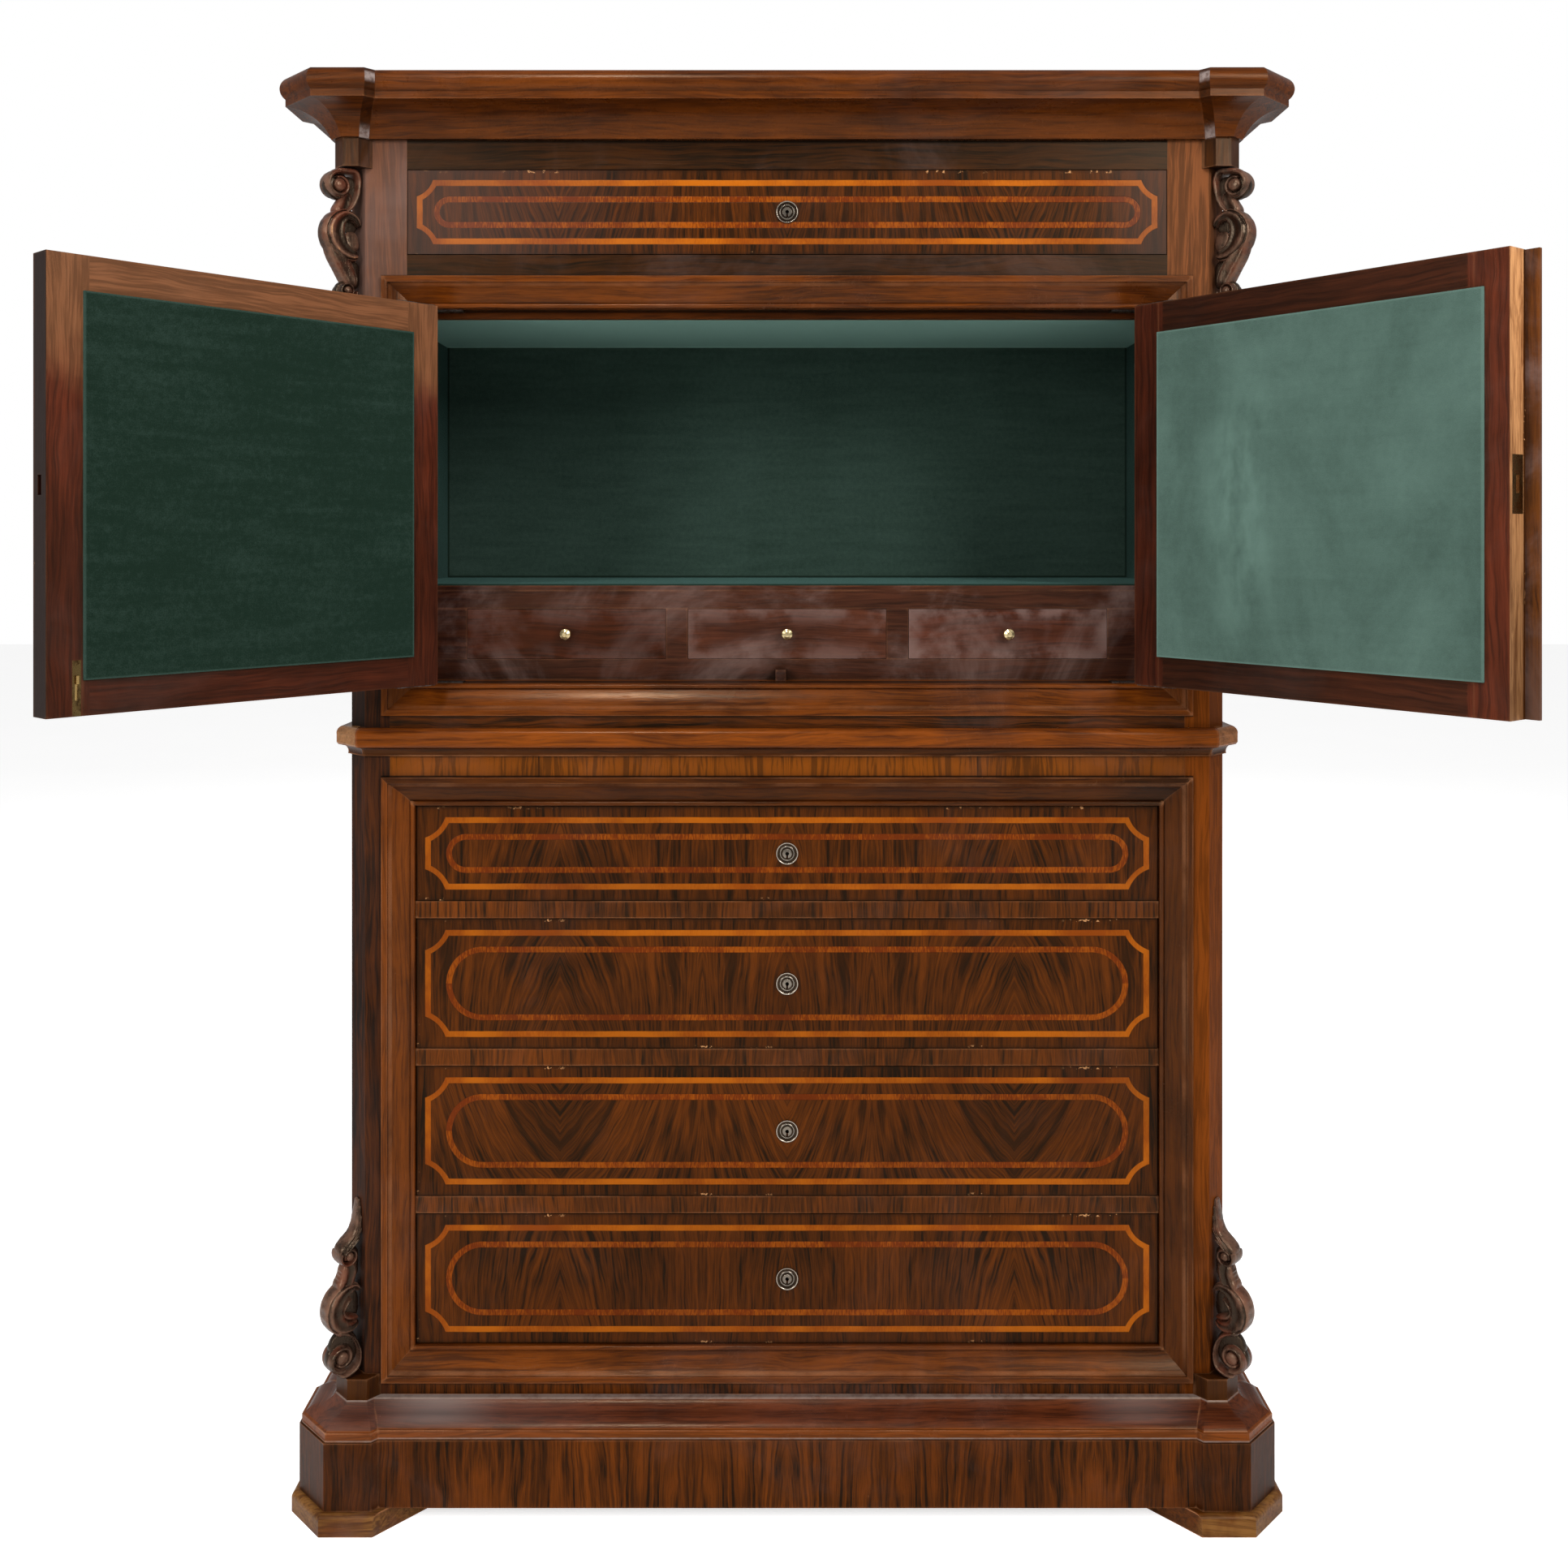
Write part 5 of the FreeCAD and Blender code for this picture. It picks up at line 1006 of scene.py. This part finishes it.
def lower_scroll():
    """The leaf and scroll above the base, in mm outward from the cant and up from the floor."""
    leaf = [
        [(27.0, 294, 6.4, 11.6), (17.0, 304, 6.4, 11.2), (7.0, 313, 5.8, 10.6),
         (3.0, 324, 4.8, 9.2), (1.8, 338, 3.2, 7.0), (1.4, 353.5, 1.4, 4.5)],
        [(5.0, 315, 3.2, 10.4), (3.5, 326, 3.0, 9.4), (2.4, 337, 2.2, 8.4), (1.2, 346, 1.0, 7.5)],
        [(9.0, 309, 3.4, 11.2), (5.0, 318, 3.0, 10.8), (2.5, 327, 2.3, 10.0),
         (0.8, 335, 1.0, 9.4)],
        [(14.0, 303, 3.4, 11.6), (8.5, 310, 3.0, 11.4), (4.0, 316, 2.3, 11.0),
         (0.8, 322, 1.0, 10.4)],
        [(19.0, 298, 3.6, 12.0), (13.0, 303, 3.1, 12.0), (8.0, 306.5, 2.3, 11.6),
         (3.0, 309.5, 1.1, 11.2)],
    ]
    return (
        [band(rows, ((-0.2, 0.22, 0.16), (0.5, 0.12, 0.12)), count=64, around=64, corner=2.6,
              ends=1.6) for rows in leaf]
        + volute((16.4, 292.0), 40, -1.2, 13.4, 5.0, 4.6)
        + [band([(16, 284, 9.0, 9.0), (14.5, 274, 9.6, 9.4), (18, 262, 9.6, 10.4),
                 (27, 251, 8.6, 11.8)], ((-0.05, 0.20, 0.4),)),
           band([(1.2, 247.0, 2.2, 8.0), (8, 253.5, 4.4, 11.0), (19.5, 252.5, 8.0, 12.2),
                 (30.2, 243.5, 10.8, 12.8), (33.6, 230, 11.8, 12.9), (29.5, 217, 10.4, 12.6),
                 (19.5, 209.5, 7.2, 11.8), (9.5, 209.0, 4.8, 10.6), (3.0, 212.5, 2.4, 8.0)],
                ((0.74, 0.18, 0.08), (-0.15, 0.13, 0.45)), count=150, around=96,
                ridge_highlight=(0.52, 0.25)),
           band([(24.5, 232, 1.8, 10.5), (21.5, 224.5, 3.0, 12.0), (13, 219.8, 3.2, 12.0),
                 (4.0, 217.0, 1.4, 9.0)], count=70, corner=2.6),
           band([(12.5, 241.5, 1.6, 9.0), (18, 238.5, 2.2, 11.0), (22.5, 233, 2.2, 11.5),
                 (25.5, 227, 1.6, 9.0)], count=60, corner=2.6),
           band([(31, 207, 4.0, 11.8), (20, 203.0, 2.6, 12.4), (11, 196, 2.1, 12.6),
                 (5.2, 185, 2.0, 12.6), (3.0, 172, 2.1, 12.6), (6.5, 160, 2.6, 12.4),
                 (15.0, 155.6, 3.0, 12.2), (27.0, 155.2, 2.6, 12.0)], count=120, corner=2.6),
           web((20, 206, 14, 5.0), (21, 190, 17, 5.0), (21, 160, 17, 5.0)),
           web((13, 250, 11, 2.6), (14, 230, 13, 2.4), (12, 212, 11, 2.6)),
           web((11, 300, 9, 4.5), (11, 280, 9, 4.5), (11, 262, 9, 4.5))]
        + volute((25.2, 176.6), 250, 1.2, 19.0, 7.2, 7.0)
    )


def carved_material():
    """Dark wood whose high places, told by the attribute rub, are worn pale in clouds; rub also
    carries painted highlights and painted shade, so the pale places are partly painted highlight
    and the dark hollows partly painted shade.
    """
    w = settings().wood
    made, g, shader, place = new_material("carved_wood", coat=0.05, specular=0.5)
    worn = g.out(g.add("ShaderNodeAttribute", attribute_name="rub"), "Fac")
    clouds = g.noise(place, 55.0, 5.0, 0.65)
    lines = g.noise(g.mapped(place, (1.0, 1.0, 0.15)), 420.0, 3.0, 0.6)
    high = worn + (clouds - 0.5) * 1.3 + (lines - 0.5) * 0.4
    body = g.mix(g.ramp(high, 0.05, 0.80), tuple(w.carved_dark), tuple(w.carved_light))
    warm = g.clouds(place, (30.0, 3.0), 0.48, 0.66, 0.0, 0.5) * g.ramp(worn, 0.0, 0.3)
    reds = g.mix(warm, body, tuple(w.frame_light))
    g.fill(shader.inputs, Base_Color=g.mix(g.ramp(high, 0.80, 1.10), reds, tuple(w.raw_light)),
           Roughness=g.ramp(clouds, 0.3, 0.7, 0.20, 0.42))
    bump(g, shader, lines * 0.5 + clouds, 0.0006)
    return made


def dress(node, material):
    """Gives one of the frame's nodes its material."""
    slots = NODES[node].data.materials
    slots.clear()
    slots.append(material)


# Operators, one for each piece or group of like pieces

class DressCase(Operator):
    """Sides, posts, rails and mouldings of the case in figured and solid walnut"""
    bl_idname = "chiffonier.dress_case"
    bl_label = "Case woods"

    def execute(self, context):
        moulded = dict(figure=0.15, gloss=0.10)
        inside = dict(gloss=0.5, lift=0.7)
        woods = {
            "case_sides": (WALNUT, "z", dict(figure=0.9, leaf=0.19)),
            "corner_posts": (WALNUT, "z", dict(figure=0.2, leaf=0.9, chips=0.5, left=0.55,
                                               rub=0.25, gloss=0.4, shine=0.08)),
            "front_rails": (WALNUT, "rails", dict(figure=0.2, leaf=0.29, bloom=0.15)),
            "drawer_rails": (WALNUT, "z", dict(figure=0.2, leaf=0.29, lift=1.1, chips=0.6,
                                               rub=0.5)),
            "cornice": (SOLID, "wrap", dict(figure=0.2, lift=0.62, grime=0.4, gloss=0.14,
                                            rub=0.25)),
            "corner_blocks": (SOLID, "z", dict(figure=0.2, lift=(0.30, 0.36, 0.50), bloom=0.8,
                                               rub=0.3)),
            "waist_moulding": (SOLID, "wrap", dict(figure=0.10, leaf=0.29, bloom=0.05, lift=1.05,
                                                   gloss=0.10, rub=0.6)),
            "upper_frame_moulding": (SOLID, "frame", dict(moulded, lift=0.72, rub=0.3)),
            "lower_frame_moulding": (SOLID, "frame", dict(moulded, lift=0.75, rub=0.4)),
            "plinth": (WALNUT, "z", dict(figure=0.38, leaf=0.24, lift=1.35, bloom=0.12,
                                         chips=0.7, rub=0.4, shine=0.15)),
            "base_moulding": (FRAME, "wrap", dict(figure=0.2, lift=(1.0, 1.22, 0.95), bloom=0.12,
                                                  chips=0.6, gloss=0.10, left=0.28, rub=0.85)),
            "feet": (SOLID, "x", dict(figure=0.4, lift=(0.9, 1.0, 0.75), bloom=0.4, chips=1.5,
                                      rub=1.0)),
            "case_boards": (SOLID, "x", dict(figure=0.3)),
            "back_boards": (RAW, "z", dict(figure=0.7, leaf=0.09, gloss=0.5, lift=0.6)),
            "guide_boards": (RAW, "y", inside),
            "drawer_runners": (RAW, "y", inside),
        }
        for seed, (node, (kind, along, look)) in enumerate(woods.items()):
            dress(node, wood(node + "_wood", kind, along, node, seed=seed + 1.3, **look))
        return {"FINISHED"}


class CarveScrolls(Operator):
    """The four carved scrolls on the canted corners, in place of their plain solids"""
    bl_idname = "chiffonier.carve_scrolls"
    bl_label = "Carvings"

    def execute(self, context):
        made = carved_material()
        slant = math.sqrt(0.5)
        half = BRACKET_HALF * slant
        for side, sign in (("left", -1), ("right", 1)):
            for tier, shape in (("upper", upper_scroll), ("lower", lower_scroll)):
                node = f"{tier}_scroll_{side}"
                low, high = span(node)
                edge = high[0] - half if sign < 0 else low[0] + half
                parts = shape()
                counts = np.cumsum([0] + [len(part[0]) for part in parts])
                out, up, thick = (np.concatenate([part[0] for part in parts]) * MM).T
                faces = np.concatenate([part[1] + start for part, start in zip(parts, counts)])
                verts = np.stack((edge + sign * slant * out + slant * thick,
                                  high[1] - half - slant * out + sign * slant * thick, up), -1)
                mesh = bpy.data.meshes.new(f"carved_{node}")
                mesh.from_pydata(np.clip(verts, low, high).tolist(), [], faces.tolist())
                mesh.validate()
                layer = mesh.attributes.new("rub", "FLOAT", "POINT")
                layer.data.foreach_set("value", np.concatenate([part[2] for part in parts]))
                mesh.polygons.foreach_set("use_smooth", np.ones(len(mesh.polygons), bool))
                mesh.materials.append(made)
                mesh.update()
                piece = bpy.data.objects.new(f"carved_{node}", mesh)
                context.scene.collection.objects.link(piece)
                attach(piece, "carcass")
                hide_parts(node)
        return {"FINISHED"}


class DressDrawers(Operator):
    """Drawer fronts with their inlaid bands, and their boxes in bare wood"""
    bl_idname = "chiffonier.dress_drawers"
    bl_label = "Drawers"

    def execute(self, context):
        n = settings().inlay
        frieze = (n.frieze_in, n.frieze_down, n.frieze_notch), (n.frieze_inner,) * 2, (0.76, 0.72)
        below = ((n.outer_in, n.outer_down, n.notch), (n.inner_in, n.inner_down), (0.62, 0.66))
        box = wood("box_wood", RAW, "y", figure=0.5, seed=20.0, gloss=0.5, lift=0.8)
        for number, fan in enumerate(FANS):
            name = f"drawer_{number}" if number else "frieze_drawer"
            outer, inner, age = below if number else frieze
            dress(name + "_front", inlaid(name + "_veneer", name + "_front", outer, inner,
                                          number * 1.7 + 0.4, fan, age))
            dress(name + "_box", box)
        for number, lift in enumerate(((0.47, 0.48, 0.40), (0.62, 0.90, 1.10),
                                       (0.64, 0.78, 0.88)), 1):
            name = f"small_drawer_{number}"
            dress(name, wood(name + "_mahogany", FRAME, "x", name, figure=0.3,
                             seed=21.0 + number, bloom=0.30 + 0.24 * number, chips=0.3,
                             halo=0.18 * number, lift=lift))
        dress("small_drawer_case", wood("nest_mahogany", FRAME, "x", figure=0.2, seed=25.0,
                                        bloom=0.9, chips=0.3, rub=0.2, lift=(0.45, 0.68, 0.85)))
        return {"FINISHED"}


class DressDoors(Operator):
    """Door frames in red mahogany with inlaid outer faces, and the lapping strip"""
    bl_idname = "chiffonier.dress_doors"
    bl_label = "Doors"

    def execute(self, context):
        for seed, side in enumerate(("left", "right")):
            leaf = f"door_{side}_leaf"
            dress(leaf, wood(f"door_{side}_mahogany", FRAME, "leaf", leaf, figure=0.3,
                             seed=30.0 + seed, bloom=0.15, rub=0.12, lift=0.9))
        strip = "door_astragal"
        dress(strip, wood("astragal_wood", SOLID, "z", strip, figure=0.3, seed=33.0, gloss=0.3,
                          bloom=1.2, lift=(0.75, 0.95, 1.6)))
        return {"FINISHED"}


class DressCloth(Operator):
    """Felt of the cupboard and of both doors"""
    bl_idname = "chiffonier.dress_cloth"
    bl_label = "Felt"

    def execute(self, context):
        c = settings().cloth
        tones = tuple(c.felt_dark), tuple(c.felt_light)
        front = float(span("felt_lining")[0][1])
        dress("felt_lining", felt("lining_felt", *tones, 0.18, 0.22, painted_lining_light=0.75, front=front))
        # Painted light and shade: the left door's felt is painted dark and the right one's painted
        # light, with a lit patch
        for side, brush, sheen, patch in (("left", 0.12, 0.02, 0.0), ("right", 1.1, 0.58, 0.85)):
            node = f"door_{side}_felt"
            dress(node, felt(f"{side}_felt", *tones, brush, sheen, node=node, patch=patch))
        return {"FINISHED"}


class DressMetal(Operator):
    """Knobs, bolts, locks and pivots in old metal"""
    bl_idname = "chiffonier.dress_metal"
    bl_label = "Metalwork"

    def execute(self, context):
        m = settings().metal
        tarnish = tuple(m.tarnish)
        brass = metal("old_brass", tuple(m.brass), tarnish, 0.25)
        dull = metal("dull_brass", tuple(c * 0.30 for c in m.brass), tarnish, 0.45)
        bright = metal("rubbed_brass", tuple(m.knob), tuple(m.brass), 0.2, pits=0.15)
        iron = metal("old_iron", (0.2, 0.19, 0.18, 1.0), (0.06, 0.04, 0.03, 1.0), 0.6)
        for node in NODES:
            if node.endswith("_knob"):
                dress(node, bright)
            elif node in ("flush_bolt_plate", "door_lock"):
                dress(node, dull)
            elif node in ("flush_bolt", "door_lock_bolt"):
                dress(node, brass)
            elif node.endswith("_lock"):
                points = vertices(node)
                face = span(node.replace("_lock", "_front"))[0][1]
                plate = points[points[:, 1] < face + 0.5 * MM]
                low, high = plate.min(0), plate.max(0)
                x, _, z = (low + high) / 2
                dress(node, metal(node + "_pewter", tuple(m.pewter), tarnish, 0.2,
                                  rings=(x, z, (high[0] - low[0]) / 2)))
            elif node.endswith(("_bolt", "_pivots")):
                dress(node, iron)
        return {"FINISHED"}


class BuildStage(Operator):
    """Plain floor, soft studio light and a camera where the photographer stood"""
    bl_idname = "chiffonier.build_stage"
    bl_label = "Stage"

    def execute(self, context):
        scene = context.scene
        size = 14.0
        mesh = bpy.data.meshes.new("floor")
        corners = [(-size, -size, 0), (size, -size, 0), (size, size, 0), (-size, size, 0)]
        mesh.from_pydata(corners, [], [(0, 1, 2, 3)])
        floor = bpy.data.objects.new("floor", mesh)
        scene.collection.objects.link(floor)
        made, g, shader, place = new_material("studio_floor", roughness=0.9, specular=0.1)
        shader.inputs["Emission Color"].default_value = (1.0, 1.0, 1.0, 1.0)
        seen = g.out(g.add("ShaderNodeLightPath"), "Is Camera Ray")
        g.fill(shader.inputs, Emission_Strength=seen * 0.62, Base_Color=g.mix(
            g.noise(place, 3.0, 2.0), (0.86, 0.86, 0.86, 1), (0.90, 0.90, 0.90, 1)))
        mesh.materials.append(made)
        world = bpy.data.worlds.new("studio")
        scene.world = world
        world.use_nodes = True
        g = Graph(world.node_tree)
        seen = g.out(g.add("ShaderNodeLightPath"), "Is Camera Ray")
        g.fill(world.node_tree.nodes["Background"].inputs, Color=(1.0, 1.0, 1.0, 1.0),
               Strength=g.ramp(seen, 0.0, 1.0, 0.34, 1.0, smooth=False))
        scene.view_settings.view_transform = "Standard"
        for name, place, aim, wide, power in (
            ("key", (2.3, -3.2, 2.9), 0.9, 1.6, 120.0),
            ("fill", (-2.6, -3.0, 2.2), 0.9, 1.8, 80.0),
            ("back_light", (0.0, 3.5, 3.0), 0.6, 2.0, 60.0),
            ("top_light", (-0.5, -1.9, 3.4), 0.9, 0.35, 26.0),
        ):
            lamp = bpy.data.lights.new(name, "AREA")
            lamp.energy = power
            lamp.size = wide
            item = bpy.data.objects.new(name, lamp)
            item.location = place
            way = np.array((0.0, 0.0, aim)) - np.array(place)
            item.rotation_euler = (math.atan2(math.hypot(way[0], way[1]), -way[2]), 0.0,
                                   math.atan2(-way[0], way[1]))
            scene.collection.objects.link(item)
        lens = bpy.data.cameras.new("camera")
        lens.sensor_width = 36.0
        lens.lens = 33.54
        lens.shift_x, lens.shift_y = -0.002, -0.156
        camera = bpy.data.objects.new("camera", lens)
        camera.location = (0.0, -1.710, 1.128)
        camera.rotation_euler = (math.pi / 2, 0.0, 0.0)
        scene.collection.objects.link(camera)
        scene.camera = camera
        return {"FINISHED"}


OPERATORS = (DressCase, CarveScrolls, DressDrawers, DressDoors, DressCloth, DressMetal, BuildStage)


class CHIFFONIER_PT_panel(Panel):
    """Lists every step of dressing the chiffonier"""
    bl_label = "Chiffonier"
    bl_idname = "CHIFFONIER_PT_panel"
    bl_space_type = "VIEW_3D"
    bl_region_type = "UI"
    bl_category = "Chiffonier"

    def draw(self, context):
        for operator in OPERATORS:
            self.layout.operator(operator.bl_idname)


PROPERTY_GROUPS = (ChiffonierWood, ChiffonierInlay, ChiffonierCloth, ChiffonierMetal,
                   ChiffonierSettings)
CLASSES = PROPERTY_GROUPS + OPERATORS + (CHIFFONIER_PT_panel,)


def register():
    for each in CLASSES:
        bpy.utils.register_class(each)
    bpy.types.Scene.chiffonier = PointerProperty(type=ChiffonierSettings)


def unregister():
    del bpy.types.Scene.chiffonier
    for each in reversed(CLASSES):
        bpy.utils.unregister_class(each)


def main():
    register()
    for operator in OPERATORS:
        family, name = operator.bl_idname.split(".")
        getattr(getattr(bpy.ops, family), name)()


if __name__ == "__main__":
    main()
